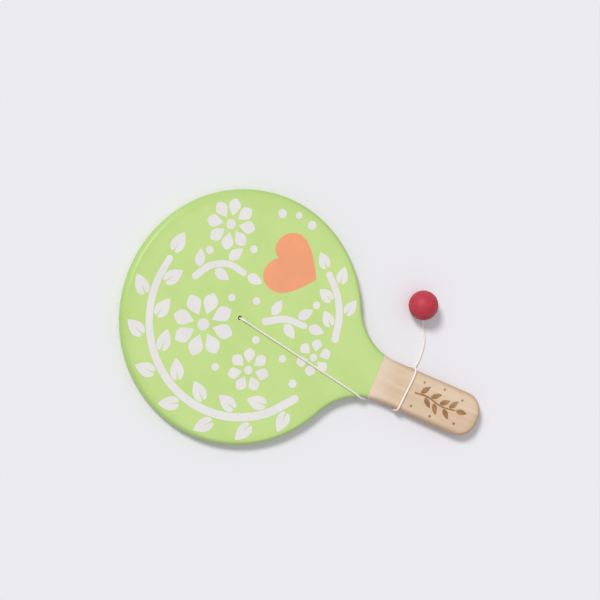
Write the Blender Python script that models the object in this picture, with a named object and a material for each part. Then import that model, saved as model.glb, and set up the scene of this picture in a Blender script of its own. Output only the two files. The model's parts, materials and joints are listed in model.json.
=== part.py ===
"""Paddle ball: a one-piece wooden paddle, an elastic cord and a rubber ball.

The toy lies on a flat surface with its face up, and its cord is put away: it comes out of the
hole near the middle of the head, runs over the face to the neck, goes once and a half round the
handle and lets the ball lie beside it. The cord under the handle lifts the board a little, so the
paddle rests on the far rim of its head and on the cord.

Units are metres, +Z is up, +Y points from the handle to the head, and the ball lies on the +X
side. The origin is at the bottom centre of the paddle's box. On the board, "reach" is the
distance from the head's centre towards the handle's end.
"""
import math

import bmesh
import bpy
import numpy as np
from mathutils import Matrix, Vector

# Board
HEAD_RADIUS = 0.075
BOARD_THICKNESS = 0.008
HANDLE_REACH = 0.165
HANDLE_WIDTH_AT_NECK = 0.0254
HANDLE_WIDTH_AT_END = 0.0270
NECK_FILLET = 0.038
END_CORNER = 0.012
EDGE_ROUND = 0.0025
PAINT_REACH = 0.0917

# Hole for the cord, a little off the head's centre, with the recess for the knot at the back
HOLE_SIDE = -0.0010
HOLE_REACH = -0.0023
CORD_BORE_DIAMETER = 0.0025
BORE_MOUTH_CHAMFER = 0.0005
KNOT_RECESS_DIAMETER = 0.007
KNOT_RECESS_DEPTH = 0.0033

# Elastic cord
CORD_DIAMETER = 0.0012
KNOT_DIAMETER = 0.0034
KNOT_LENGTH = 0.0028
FACE_RUN_LEAN = 0.157
STRAND_REACH = 0.1141

# Ball
BALL_DIAMETER = 0.018
BALL_SIDE = 0.0501
BALL_REACH = 0.1027
BALL_BORE_DIAMETER = 0.0024
KNOT_CHAMBER_DIAMETER = 0.0046
KNOT_CHAMBER_LENGTH = 0.0040
BORE_SLOPE = math.radians(30)
BORE_HEADING = math.radians(37)

# Clearances between pieces that touch on the real toy
CLEARANCE = 0.0003
REST_CLEARANCE = 0.00002

# Smoothness of round shapes
CIRCLE_STEP = math.radians(5)
FILLET_STEPS = 7
CORNER_STEPS = 6
EDGE_SEGMENTS = 3
LATHE_SIDES = 24
KNOT_SIDES = 12
BALL_RINGS = 18

CORD_RADIUS = CORD_DIAMETER / 2
CORD_OFFSET = CORD_RADIUS + CLEARANCE
BALL_RADIUS = BALL_DIAMETER / 2
HEAD_Y = (HANDLE_REACH - HEAD_RADIUS) / 2
RIM_Y = HEAD_Y + HEAD_RADIUS - EDGE_ROUND
HOLE_Y = HEAD_Y - HOLE_REACH

# Route of the cord round the handle: station, and share of the way from the neck to the strand.
# A whole station is where a flat of the board meets a rounded edge: 0 is on the face at -X, 3 is
# on the underside at -X, 4 on the underside at +X, 7 on the face at +X, and so on round.
WRAP_ROUTE = [
    (0, 0.00),
    (1, 0.22),
    (2, 0.32),
    (3, 0.47),
    (3.5, 0.71),
    (4, 0.90),
    (5, 0.965),
    (6, 0.99),
    (7, 1.00),
    (8, 0.962),
    (9, 0.958),
    (10, 0.958),
    (11, 0.972),
    (11.5, 1.01),
    (12, 1.06),
]
STEPS_ROUND_EDGE = 3
STEPS_DOWN_SIDE = 1
STEPS_OVER_FLAT = 5

# Route out of the hole: distance from the hole's axis, and height above the face.
HOLE_ROUTE = [
    (0.00015, -0.0028),
    (0.00045, -0.0008),
    (0.00077, 0.0004),
    (0.00165, 0.00128),
    (0.00285, 0.0016),
    (0.0060, 0.00135),
    (0.0095, 0.0010),
    (0.0130, 0.0009),
]

# Route over the floor to the ball: X, distance from the head's centre along the handle.
FLOOR_ROUTE = [
    (0.0155, 0.1171),
    (0.0210, 0.1174),
    (0.0270, 0.1169),
    (0.0320, 0.1157),
]
RISE_RADIUS = 0.012
STRAIGHT_INTO_BALL = 0.005


def remove_everything():
    """Empties the scene."""
    for item in list(bpy.data.objects):
        bpy.data.objects.remove(item, do_unlink=True)


def make_material(name, colour, roughness):
    """A plain material for one kind of surface."""
    material = bpy.data.materials.new(name)
    material.use_nodes = True
    shader = material.node_tree.nodes["Principled BSDF"]
    shader.inputs["Base Color"].default_value = (*colour, 1.0)
    shader.inputs["Roughness"].default_value = roughness
    shader.inputs["Metallic"].default_value = 0.0
    material.diffuse_color = (*colour, 1.0)
    return material


def add_object(name, data, materials, parent=None):
    """Links an object that holds data under an optional parent."""
    item = bpy.data.objects.new(name, data)
    bpy.context.scene.collection.objects.link(item)
    for material in materials:
        data.materials.append(material)
    item.parent = parent
    return item


def add_empty(name, matrix, parent=None):
    """An empty that carries pieces."""
    item = add_object(name, None, [], parent)
    item.matrix_local = matrix
    return item


# Shape of the board

class HandleSide:
    """The straight side of the handle with the arcs that join it to the head and to the end."""

    def __init__(self):
        half_neck = HANDLE_WIDTH_AT_NECK / 2
        half_end = HANDLE_WIDTH_AT_END / 2
        self.flare = math.atan2(half_end - half_neck, HANDLE_REACH - HEAD_RADIUS)
        self.along = np.array([math.cos(self.flare), math.sin(self.flare)])
        self.outward = np.array([-math.sin(self.flare), math.cos(self.flare)])
        self.distance = float(self.outward @ np.array([HEAD_RADIUS, half_neck]))
        fillet_distance = self.distance + NECK_FILLET
        centre_distance = HEAD_RADIUS + NECK_FILLET
        run = math.sqrt(centre_distance ** 2 - fillet_distance ** 2)
        self.fillet_centre = fillet_distance * self.outward + run * self.along
        self.on_head = self.fillet_centre * HEAD_RADIUS / centre_distance
        self.on_side = self.fillet_centre - NECK_FILLET * self.outward
        corner_distance = self.distance - END_CORNER
        run = HANDLE_REACH - END_CORNER + corner_distance * math.sin(self.flare)
        run /= math.cos(self.flare)
        self.corner_centre = corner_distance * self.outward + run * self.along
        self.corner_start = self.corner_centre + END_CORNER * self.outward

    def half_width(self, reach):
        """Half the width of the handle or the neck at a distance from the head's centre."""
        if reach < self.on_side[0]:
            run = reach - self.fillet_centre[0]
            return self.fillet_centre[1] - math.sqrt(NECK_FILLET ** 2 - run ** 2)
        return (self.distance + reach * math.sin(self.flare)) / math.cos(self.flare)


def arc_points(centre, radius, first, last, steps):
    """Points on an arc, both ends included."""
    angles = np.linspace(first, last, steps + 1)
    return [centre + radius * np.array([math.cos(a), math.sin(a)]) for a in angles]


def half_outline(side):
    """One side of the board's outline, as (reach, half width), from the head's rim to the end."""
    tangent_angle = math.atan2(side.on_head[1], side.on_head[0])
    quarter_steps = round(math.pi / 2 / CIRCLE_STEP)
    rest_steps = round((math.pi / 2 - tangent_angle) / CIRCLE_STEP)
    origin = np.zeros(2)
    points = arc_points(origin, HEAD_RADIUS, math.pi, math.pi / 2, quarter_steps)
    points += arc_points(origin, HEAD_RADIUS, math.pi / 2, tangent_angle, rest_steps)[1:]
    turn = side.on_head - side.fillet_centre
    first = math.atan2(turn[1], turn[0]) % (2 * math.pi)
    last = math.atan2(-side.outward[1], -side.outward[0]) % (2 * math.pi)
    points += arc_points(side.fillet_centre, NECK_FILLET, first, last, FILLET_STEPS)[1:]
    first = math.atan2(side.outward[1], side.outward[0])
    points += arc_points(side.corner_centre, END_CORNER, first, 0.0, CORNER_STEPS)
    return points


def board_outline(side):
    """The whole outline as (x, y), anticlockwise seen from above."""
    half = half_outline(side)
    right = [(width, HEAD_Y - reach) for reach, width in half]
    left = [(-x, y) for x, y in right[1:]]
    return left + right[::-1]


def build_board(side, paint, wood, parent):
    """The paddle's board, with rounded edges, the hole and the recess for the knot."""
    mesh = bpy.data.meshes.new("paddle_board")
    shape = bmesh.new()
    corners = [shape.verts.new((x, y, 0.0)) for x, y in board_outline(side)]
    underside = shape.faces.new(corners)
    extruded = bmesh.ops.extrude_face_region(shape, geom=[underside])
    raised = [item for item in extruded["geom"] if isinstance(item, bmesh.types.BMVert)]
    bmesh.ops.translate(shape, verts=raised, vec=(0, 0, BOARD_THICKNESS))
    bmesh.ops.recalc_face_normals(shape, faces=shape.faces[:])
    everything = shape.verts[:] + shape.edges[:] + shape.faces[:]
    paint_y = HEAD_Y - PAINT_REACH
    bmesh.ops.bisect_plane(
        shape, geom=everything, dist=1e-6, plane_co=(0, paint_y, 0), plane_no=(0, 1, 0)
    )
    for face in shape.faces:
        face.material_index = 0 if face.calc_center_bounds().y > paint_y else 1
    shape.to_mesh(mesh)
    shape.free()
    board = add_object("paddle_board", mesh, [paint, wood], parent)
    edges = board.modifiers.new("rounded_edges", "BEVEL")
    edges.width = EDGE_ROUND
    edges.segments = EDGE_SEGMENTS
    edges.limit_method = "ANGLE"
    edges.angle_limit = math.radians(40)
    cut(board, build_board_cutter(parent))
    mesh.shade_smooth()
    mesh.set_sharp_from_angle(angle=math.radians(35))
    return board


def build_board_cutter(parent):
    """The hole for the cord, with its softened mouth and the knot's recess."""
    bore = CORD_BORE_DIAMETER / 2
    recess = KNOT_RECESS_DIAMETER / 2
    overrun = EDGE_ROUND
    top = BOARD_THICKNESS
    profile = [
        (0.0, -overrun),
        (recess, -overrun),
        (recess, KNOT_RECESS_DEPTH),
        (bore, KNOT_RECESS_DEPTH),
        (bore, top - BORE_MOUTH_CHAMFER),
        (bore + BORE_MOUTH_CHAMFER + overrun, top + overrun),
        (0.0, top + overrun),
    ]
    cutter = add_object("hole_cutter", lathe_mesh("hole_cutter", profile), [], parent)
    cutter.location = (HOLE_SIDE, HOLE_Y, 0)
    return cutter


def cut(item, cutter):
    """Cuts a shape out of a piece, and keeps the cutter as a hidden guide."""
    cutter.hide_render = True
    cutter.display_type = "WIRE"
    boolean = item.modifiers.new(cutter.name, "BOOLEAN")
    boolean.operation = "DIFFERENCE"
    boolean.solver = "EXACT"
    boolean.object = cutter


def lathe_mesh(name, profile, sides=LATHE_SIDES):
    """A solid turned about Z from a profile of (radius, z) that starts and ends on the axis."""
    mesh = bpy.data.meshes.new(name)
    shape = bmesh.new()
    rings = []
    for radius, z in profile:
        if radius == 0.0:
            rings.append([shape.verts.new((0, 0, z))])
            continue
        angles = [2 * math.pi * k / sides for k in range(sides)]
        rings.append([shape.verts.new((radius * math.cos(a), radius * math.sin(a), z)) for a in angles])
    for lower, upper in zip(rings, rings[1:]):
        for k in range(sides):
            corners = [lower[k % len(lower)], lower[(k + 1) % len(lower)]]
            corners += [upper[(k + 1) % len(upper)], upper[k % len(upper)]]
            corners = list(dict.fromkeys(corners))
            shape.faces.new(corners)
    bmesh.ops.recalc_face_normals(shape, faces=shape.faces[:])
    shape.to_mesh(mesh)
    shape.free()
    mesh.shade_smooth()
    mesh.set_sharp_from_angle(angle=math.radians(35))
    return mesh


# Smooth routes

def smooth_curve(points, positions=None):
    """A function that passes smoothly through points, by the distance along them or by position."""
    points = np.array(points, dtype=float)
    if positions is None:
        steps = np.linalg.norm(np.diff(points, axis=0), axis=1)
        positions = np.concatenate([[0.0], np.cumsum(steps)])
    positions = np.array(positions, dtype=float)
    slopes = np.gradient(points, positions, axis=0)

    def at(position):
        k = int(np.clip(np.searchsorted(positions, position) - 1, 0, len(points) - 2))
        span = positions[k + 1] - positions[k]
        t = (position - positions[k]) / span
        start = points[k] * (1 + 2 * t) * (1 - t) ** 2 + slopes[k] * span * t * (1 - t) ** 2
        finish = points[k + 1] * t ** 2 * (3 - 2 * t) - slopes[k + 1] * span * t ** 2 * (1 - t)
        return start + finish

    return at, float(positions[-1])


def build_cord(name, points, material, parent, resolution=2, round_start=False):
    """A round cord along points, which may start in a half ball round its first point."""
    points = [Vector(point) for point in points]
    widths = [1.0] * len(points)
    if round_start:
        back = (points[0] - points[1]).normalized() * CORD_RADIUS
        tips = [math.radians(a) for a in (80, 60, 30)]
        points = [points[0] + back * math.sin(a) for a in tips] + points
        widths = [math.cos(a) for a in tips] + widths
    curve = bpy.data.curves.new(name, "CURVE")
    curve.dimensions = "3D"
    curve.twist_mode = "MINIMUM"
    curve.bevel_depth = CORD_RADIUS
    curve.bevel_resolution = resolution
    curve.use_fill_caps = True
    spline = curve.splines.new("POLY")
    spline.points.add(len(points) - 1)
    for place, point, width in zip(spline.points, points, widths):
        place.co = (*point, 1.0)
        place.radius = width
    return add_object(name, curve, [material], parent)


# Cord on the board

def face_run_side(reach):
    """X of the run over the face at a distance from the head's centre."""
    return HOLE_SIDE - FACE_RUN_LEAN * (reach - HOLE_REACH)


def neck_crossing(side):
    """Where the run over the face reaches the rounded edge of the neck, as a reach."""
    low = side.on_head[0]
    high = HANDLE_REACH
    for _ in range(40):
        middle = (low + high) / 2
        if -face_run_side(middle) < side.half_width(middle) - EDGE_ROUND:
            low = middle
        else:
            high = middle
    return low


def stretch_lengths():
    """Lengths of the cord over a rounded edge, down the side and over a flat of the handle."""
    over_edge = (EDGE_ROUND + CORD_OFFSET) * math.pi / 2
    down_side = BOARD_THICKNESS - 2 * EDGE_ROUND
    over_flat = HANDLE_WIDTH_AT_NECK - 2 * EDGE_ROUND
    return [over_edge, down_side, over_edge, over_flat]


def distance_at_station(station):
    """Length of cord from the first station to a station."""
    lengths = stretch_lengths()
    whole = int(station)
    total = sum(lengths[k % len(lengths)] for k in range(whole))
    return total + (station - whole) * lengths[whole % len(lengths)]


def point_round_handle(side, station, reach):
    """The cord's centre round the board at a station and a reach."""
    whole = min(int(station), 11)
    part = station - whole
    stretch = whole % 4
    turned = (whole // 4) % 2
    half_flat = side.half_width(reach) - EDGE_ROUND
    middle = BOARD_THICKNESS / 2
    half_side = middle - EDGE_ROUND
    bend = EDGE_ROUND + CORD_OFFSET
    if stretch == 0:
        angle = part * math.pi / 2
        x = -half_flat - bend * math.sin(angle)
        z = half_side + bend * math.cos(angle)
    elif stretch == 1:
        x = -half_flat - bend
        z = half_side * (1 - 2 * part)
    elif stretch == 2:
        angle = part * math.pi / 2
        x = -half_flat - bend * math.cos(angle)
        z = -half_side - bend * math.sin(angle)
    else:
        x = half_flat * (2 * part - 1)
        z = -half_side - bend
    if turned:
        x = -x
        z = -z
    return Vector((x, HEAD_Y - reach, middle + z))


def wrap_points(side):
    """Points of the cord from the neck's edge, once and a half round the handle."""
    start = neck_crossing(side)
    reaches = [start + share * (STRAND_REACH - start) for _, share in WRAP_ROUTE]
    positions = [distance_at_station(station) for station, _ in WRAP_ROUTE]
    reach_at, _ = smooth_curve(np.array(reaches)[:, None], positions)
    points = []
    steps = [STEPS_ROUND_EDGE, STEPS_DOWN_SIDE, STEPS_ROUND_EDGE, STEPS_OVER_FLAT]
    for whole in range(12):
        count = steps[whole % len(steps)]
        points += [(whole + k / count) for k in range(count)]
    points.append(12)
    return [
        point_round_handle(side, s, float(reach_at(distance_at_station(s))[0])) for s in points
    ]


def face_run_points(side):
    """Points of the cord from the knot's recess, out of the hole and over the face."""
    heading = Vector((-FACE_RUN_LEAN, -1.0, 0.0)).normalized()
    hole = Vector((HOLE_SIDE, HOLE_Y, BOARD_THICKNESS))
    route = [hole + Vector((0, 0, KNOT_RECESS_DEPTH - BOARD_THICKNESS))]
    route += [hole + heading * out + Vector((0, 0, up)) for out, up in HOLE_ROUTE]
    curve, length = smooth_curve(route)
    out_of_hole = [Vector(curve(d)) for d in np.linspace(0.0, length, 15)]
    end = neck_crossing(side)
    finish = Vector((face_run_side(end), HEAD_Y - end, BOARD_THICKNESS + CORD_OFFSET))
    finish -= heading * CLEARANCE
    steps = round((finish - out_of_hole[-1]).length / (3 * CORD_DIAMETER))
    straight = [out_of_hole[-1].lerp(finish, k / steps) for k in range(1, steps + 1)]
    return out_of_hole + straight


def cord_length(points):
    """The length of cord along points."""
    return sum((second - first).length for first, second in zip(points, points[1:]))


def least_gap(points, neighbours):
    """The least gap between turns of a cord, leaving out points that are neighbours."""
    places = np.array([tuple(p) for p in points])
    gap = math.inf
    for k in range(len(places) - neighbours):
        distances = np.linalg.norm(places[k + neighbours:] - places[k], axis=1)
        gap = min(gap, float(distances.min()) - CORD_DIAMETER)
    return gap


def knot_mesh(name):
    """A small tight knot, as a turned lump with a waist, its middle at the origin."""
    radius = KNOT_DIAMETER / 2
    half = KNOT_LENGTH / 2
    upper = [(0.55, 1.0), (0.86, 0.78), (1.0, 0.42)]
    shape = upper + [(0.88, 0.0)] + [(r, -z) for r, z in reversed(upper)]
    profile = [(0.0, half)] + [(radius * r, half * z) for r, z in shape] + [(0.0, -half)]
    return lathe_mesh(name, profile, KNOT_SIDES)


# Ball and the cord that holds it

def ball_frame():
    """The ball's place, its local -Z pointing out of the mouth that the cord goes into."""
    centre = Vector((BALL_SIDE, HEAD_Y - BALL_REACH, BALL_RADIUS))
    heading = Matrix.Rotation(BORE_HEADING, 4, "Z")
    slope = Matrix.Rotation(math.pi / 2 - BORE_SLOPE, 4, "Y")
    return Matrix.Translation(centre) @ heading @ slope


def build_ball(material):
    """The ball, with its bore and the chamber that holds the knot."""
    angles = [math.pi * k / BALL_RINGS for k in range(1, BALL_RINGS)]
    profile = [(0.0, -BALL_RADIUS)]
    profile += [(BALL_RADIUS * math.sin(a), -BALL_RADIUS * math.cos(a)) for a in angles]
    profile += [(0.0, BALL_RADIUS)]
    ball = add_object("ball", lathe_mesh("ball", profile), [material])
    ball.matrix_world = ball_frame()
    bore = BALL_BORE_DIAMETER / 2
    chamber = KNOT_CHAMBER_DIAMETER / 2
    half = KNOT_CHAMBER_LENGTH / 2
    profile = [
        (0.0, -2 * BALL_RADIUS),
        (bore, -2 * BALL_RADIUS),
        (bore, -half),
        (chamber, -half),
        (chamber, half),
        (0.0, half),
    ]
    cutter = add_object("ball_cutter", lathe_mesh("ball_cutter", profile, KNOT_SIDES), [])
    cutter.matrix_world = ball_frame()
    cut(ball, cutter)
    return ball


def ball_run_points(start, heading):
    """Points of the cord over the floor from the handle to the ball's mouth."""
    frame = ball_frame()
    mouth = frame @ Vector((0, 0, -BALL_RADIUS - CLEARANCE))
    into = (frame.to_3x3() @ Vector((0, 0, 1))).normalized()
    flat = Vector((into.x, into.y, 0)).normalized()
    leaves_axis = mouth - into * STRAIGHT_INTO_BALL
    drop = leaves_axis.z - CORD_RADIUS
    slope = math.acos(max(-1.0, 1 - drop / RISE_RADIUS))
    half_slope = slope / 2
    touch = leaves_axis - flat * (RISE_RADIUS * math.sin(slope))
    touch.z = CORD_RADIUS
    rise = touch + flat * (RISE_RADIUS * math.sin(half_slope))
    rise.z = CORD_RADIUS + RISE_RADIUS * (1 - math.cos(half_slope))
    route = [start, start + heading * (2 * CORD_DIAMETER)]
    route += [Vector((x, HEAD_Y - reach, CORD_RADIUS)) for x, reach in FLOOR_ROUTE]
    route += [touch, rise, leaves_axis, mouth]
    curve, length = smooth_curve(route)
    steps = round(length / (2.5 * CORD_DIAMETER))
    points = [Vector(curve(d)) for d in np.linspace(0.0, length, steps + 1)]
    for point in points:
        point.z = max(point.z, CORD_RADIUS)
    return points


def board_lean(wrap):
    """The angle at which the board leans, with its far rim and the cord under it on the table."""
    under = [point for point in wrap if point.z < 0]
    slopes = [(CORD_RADIUS - p.z + REST_CLEARANCE) / (RIM_Y - p.y) for p in under]
    return math.atan(max(slopes))


def report(name, values, digits=5):
    """Prints a measure of the finished model."""
    print(name + ": " + " ".join(f"{value:.{digits}f}" for value in values))


def main():
    """Builds every piece in its place."""
    remove_everything()
    paint = make_material("green_paint", (0.539, 0.716, 0.258), 0.5)
    wood = make_material("bare_wood", (0.723, 0.552, 0.407), 0.6)
    elastic = make_material("white_elastic", (0.83, 0.80, 0.75), 0.8)
    rubber = make_material("red_rubber", (0.533, 0.073, 0.107), 0.5)

    side = HandleSide()
    wrap = wrap_points(side)
    lean = board_lean(wrap)
    rim = Matrix.Translation((0, RIM_Y, 0))
    on_table = rim @ Matrix.Rotation(-lean, 4, "X") @ rim.inverted()
    carrier = add_empty("paddle_lean", on_table)
    build_board(side, paint, wood, carrier)
    knot = add_object("cord_back_knot", knot_mesh("cord_back_knot"), [elastic], carrier)
    knot.location = (HOLE_SIDE, HOLE_Y, KNOT_RECESS_DEPTH - CLEARANCE - KNOT_LENGTH / 2)
    face_run = face_run_points(side)
    build_cord("cord_face_run", face_run, elastic, carrier)
    build_cord("cord_handle_wrap", wrap, elastic, carrier, resolution=1)

    leaving = on_table.to_3x3() @ (wrap[-1] - wrap[-2])
    leaving.z = 0
    leaving.normalize()
    pivot = on_table @ wrap[-1] + leaving * CORD_OFFSET
    swing = add_empty("ball_swing", Matrix.Translation(pivot))
    ball_run = ball_run_points(pivot, leaving)
    from_pivot = [point - pivot for point in ball_run]
    build_cord("cord_ball_run", from_pivot, elastic, swing, round_start=True)

    build_ball(rubber)
    frame = ball_frame()
    knot = add_object("cord_ball_knot", knot_mesh("cord_ball_knot"), [elastic])
    knot.matrix_world = frame
    inside = [frame @ Vector((0, 0, z)) for z in (-BALL_RADIUS, -KNOT_LENGTH / 2 - CLEARANCE)]
    build_cord("cord_in_ball", inside, elastic, None)

    pull = frame.translation - pivot
    pull.z = 0
    stretches = [face_run, wrap, ball_run, inside]
    report("lean of the board, degrees", [math.degrees(lean)])
    report("swing axis at", pivot)
    report("ball centre", frame.translation)
    report("ball spin axis", frame.to_3x3() @ Vector((0, 0, 1)))
    report("ball pull axis", pull.normalized())
    report("rest face point", on_table @ Vector((0, HEAD_Y + HEAD_RADIUS / 2, 0)))
    report("rest face normal", on_table.to_3x3() @ Vector((0, 0, -1)), 6)
    report("cord length", [cord_length(stretch) for stretch in stretches])
    report("least gap between the cord's turns, mm", [least_gap(wrap, 6) * 1000], 2)


main()
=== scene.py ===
"""Paddle ball: the looks of a painted wooden paddle, its elastic cord and its rubber ball.

Sizes are in metres. Shapes on the board are laid out flat, with its underside at z = 0, and lean
with it, because it lies on its far rim and on the cord under its handle. "Reach" is the distance
from the head's centre towards the handle's end. A place on the print is (x, y) in millimetres
from the head's centre, with y pointing away from the handle.
"""
import json
import math

import bmesh
import bpy
import numpy as np
from bpy.props import FloatProperty, FloatVectorProperty, IntProperty, PointerProperty
from mathutils import Matrix, Vector


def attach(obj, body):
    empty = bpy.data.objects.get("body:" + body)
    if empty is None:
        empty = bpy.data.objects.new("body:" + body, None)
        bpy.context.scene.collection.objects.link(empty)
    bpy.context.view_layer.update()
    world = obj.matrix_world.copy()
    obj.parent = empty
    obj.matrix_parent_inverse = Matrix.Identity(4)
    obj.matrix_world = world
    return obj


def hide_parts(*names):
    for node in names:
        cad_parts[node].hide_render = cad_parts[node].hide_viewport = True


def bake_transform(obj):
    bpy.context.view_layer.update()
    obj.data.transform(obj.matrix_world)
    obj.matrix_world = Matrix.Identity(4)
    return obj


bl_info = {
    "name": "Paddle Ball",
    "version": (1, 0, 0),
    "blender": (4, 5, 0),
    "location": "3D View > Sidebar > Paddle Ball",
    "description": "Builds a painted wooden paddle with an elastic cord and a rubber ball",
    "category": "Add Mesh",
}

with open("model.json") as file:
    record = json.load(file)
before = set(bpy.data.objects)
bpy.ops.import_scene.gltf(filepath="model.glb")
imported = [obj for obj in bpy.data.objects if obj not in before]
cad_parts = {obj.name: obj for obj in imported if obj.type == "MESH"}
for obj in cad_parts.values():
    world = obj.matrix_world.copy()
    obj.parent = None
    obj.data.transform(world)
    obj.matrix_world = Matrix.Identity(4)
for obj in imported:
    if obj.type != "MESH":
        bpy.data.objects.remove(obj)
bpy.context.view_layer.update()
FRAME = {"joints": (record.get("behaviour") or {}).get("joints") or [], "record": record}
RECORD = FRAME["record"]
JOINTS = {joint["name"]: joint for joint in FRAME["joints"]}

# Board
HEAD_RADIUS = 0.075
BOARD_THICKNESS = 0.008
HANDLE_REACH = 0.165
HANDLE_WIDTH_AT_NECK = 0.0254
HANDLE_WIDTH_AT_END = 0.0270
NECK_FILLET = 0.038
END_CORNER = 0.012
EDGE_ROUND = 0.0025
PAINT_REACH = 0.0917

# Hole for the cord, with the recess for the knot at the back
HOLE_SIDE = -0.0010
HOLE_REACH = -0.0023
CORD_BORE_DIAMETER = 0.0025
BORE_MOUTH_CHAMFER = 0.0005
KNOT_RECESS_DIAMETER = 0.007
KNOT_RECESS_DEPTH = 0.0033

# Elastic cord
CORD_DIAMETER = 0.0012
KNOT_LENGTH = 0.0028
FACE_RUN_LEAN = 0.157
STRAND_REACH = 0.1141
CLEARANCE = 0.0003

# Ball
BALL_DIAMETER = 0.018
BALL_SIDE = 0.0501
BALL_REACH = 0.1027
BALL_BORE_DIAMETER = 0.0024
KNOT_CHAMBER_DIAMETER = 0.0046
KNOT_CHAMBER_LENGTH = 0.0040
BORE_SLOPE = math.radians(30)
BORE_HEADING = math.radians(37)

CORD_RADIUS = CORD_DIAMETER / 2
CORD_OFFSET = CORD_RADIUS + CLEARANCE
BALL_RADIUS = BALL_DIAMETER / 2
HEAD_Y = (HANDLE_REACH - HEAD_RADIUS) / 2
RIM_Y = HEAD_Y + HEAD_RADIUS - EDGE_ROUND
PAINT_Y = HEAD_Y - PAINT_REACH
END_Y = HEAD_Y - HANDLE_REACH
HOLE_Y = HEAD_Y - HOLE_REACH
MM = 0.001

# Route of the cord round the handle: station, and share of the way from the neck to the strand.
# A whole station is where a flat of the board meets a rounded edge: 0 is on the face at -X, 3 is
# on the underside at -X, 4 on the underside at +X, 7 on the face at +X, and so on round.
WRAP_ROUTE = [
    (0, 0.00),
    (1, 0.22),
    (2, 0.32),
    (3, 0.47),
    (3.5, 0.71),
    (4, 0.90),
    (5, 0.965),
    (6, 0.99),
    (7, 1.00),
    (8, 0.962),
    (9, 0.958),
    (10, 0.958),
    (11, 0.972),
    (11.5, 1.01),
    (12, 1.06),
]
LAST_STATION = 12
STATIONS_A_HALF_TURN = 4
STEPS_A_STATION = 24
NECK_HALVINGS = 40

# Route out of the hole: distance from the hole's axis, and height above the face
HOLE_ROUTE = [
    (0.00015, -0.0028),
    (0.00045, -0.0008),
    (0.00077, 0.0004),
    (0.00165, 0.00128),
    (0.00285, 0.0016),
    (0.0060, 0.00135),
    (0.0095, 0.0010),
    (0.0130, 0.0009),
]

# Route over the floor to the ball: x, reach
FLOOR_ROUTE = [
    (0.0155, 0.1171),
    (0.0210, 0.1174),
    (0.0270, 0.1169),
    (0.0320, 0.1157),
]
RISE_RADIUS = 0.012
STRAIGHT_INTO_BALL = 0.005

# Cover of the cord: strands of its weave, its pitch, how round the strands are, how high one stands
# where it passes under another, and the most of the cord's radius that the valleys may take
COVER_STRANDS = 7
FEWEST_STRANDS = 4
COVER_PITCH = 0.00052
STRAND_ROUNDNESS = 0.7
STRAND_BELOW = 0.55
COVER_DEPTH_LIMIT = 0.1

# Surface of the cord
CORD_SIDES = 28
RING_SPACING = 0.00012
WEAVE_SHARP_ANGLE = math.radians(60)
NEARLY_PARALLEL = 0.1

# Line of the cord: points on two of its curves, the distance up to which two points are one, how
# far its bends are eased, and how many of its points give one of its path
FACE_RUN_POINTS = 120
BALL_RUN_POINTS = 240
SAME_PLACE = 1e-7
CORD_EASE = 0.0020
BALL_RUN_EASE = 0.0040
PATH_STEP = 8

# Round end of the cord: angles of its rings from the tip, its bulge and how far it sinks, as shares
# of the radius and of the cover's depth, and its tone, which sets its painted valley shade
CAP_ANGLES = (82, 68, 52, 34, 16)
CAP_BULGE = 0.96
CAP_SINK = 0.4
CAP_TONE = 0.8

# Knots: three waves round a ring. The ring's radius, the reach of its waves and the height at which
# the strand comes in are in radii of the strand. The ring is left open by an angle at either end.
KNOT_STRAND_RADIUS = 0.00046
KNOT_RING = 2.05
KNOT_WAVE = 1.02
KNOT_CROWN = 2.35
KNOT_OPENING = 0.42
KNOT_RING_POINTS = 90
KNOT_POINTS = 320

# Way into a knot: share of the way from the axis to the ring, and height over the crown, in radii
KNOT_ENTRY = ((0.0, 3.2), (0.0, 1.4), (0.25, 0.35), (0.72, -0.25))

# Way out of a knot: shares of the tail at which it has a point, and how far it droops, in radii
KNOT_TAIL = (0.4, 0.75, 1.0)
KNOT_TAIL_DROOP = 0.1

# Tails of the two knots, and the room between a knot and what it rests on
BACK_KNOT_TAIL = 0.0016
BALL_KNOT_TAIL = 0.0004
KNOT_ROOM = 0.0001

# Stretch of the cord that bends when the ball swings: its reach before and past the pivot
BEND_REACH = 0.0040

# Ball: lip of its mouth, corner of its chamber, height and half width of its parting line, the
# share of that at which a ring lies on its flank, and the rings on either side of it
BALL_LIP = 0.0006
CHAMBER_CORNER = 0.0005
SEAM_HEIGHT = 0.00006
SEAM_HALF_WIDTH = 0.00028
SEAM_FLANK = 0.6
RINGS_BELOW_SEAM = 30
RINGS_ABOVE_SEAM = 33

# Smoothness of the board
CIRCLE_STEP = math.radians(1.5)
FILLET_STEPS = 20
CORNER_STEPS = 14
STRAIGHT_STEP = 0.004
EDGE_STEPS = 7
MOUTH_STEPS = 5
DRILL_SIDES = 48
SHARP_ANGLE = math.radians(35)

# Depth of the painted edge shade, with toast on the bare wood, over the board's edges, 1 on its side:
# where the rounded edge meets the flats, and on rings further in, each with its inset
ROUNDING_TONE = 0.34
FLAT_RINGS = ((0.0034, 0.28), (0.0048, 0.21), (0.0066, 0.12), (0.0090, 0.0))

# Grain of the wood: waves to the metre along X, Y and Z of its drift and its pores, stretch of its
# lines, lines to the metre, how far the drift bends them, and bands to a line
DRIFT_WAVES = (14, 5, 14)
PORE_WAVES = (3400, 210, 3400)
LINE_STRETCH = (1.0, 0.05, 1.0)
LINE_WAVES = 230.0
LINE_BEND = 0.030
BAND_SHARE = 0.28
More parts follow.
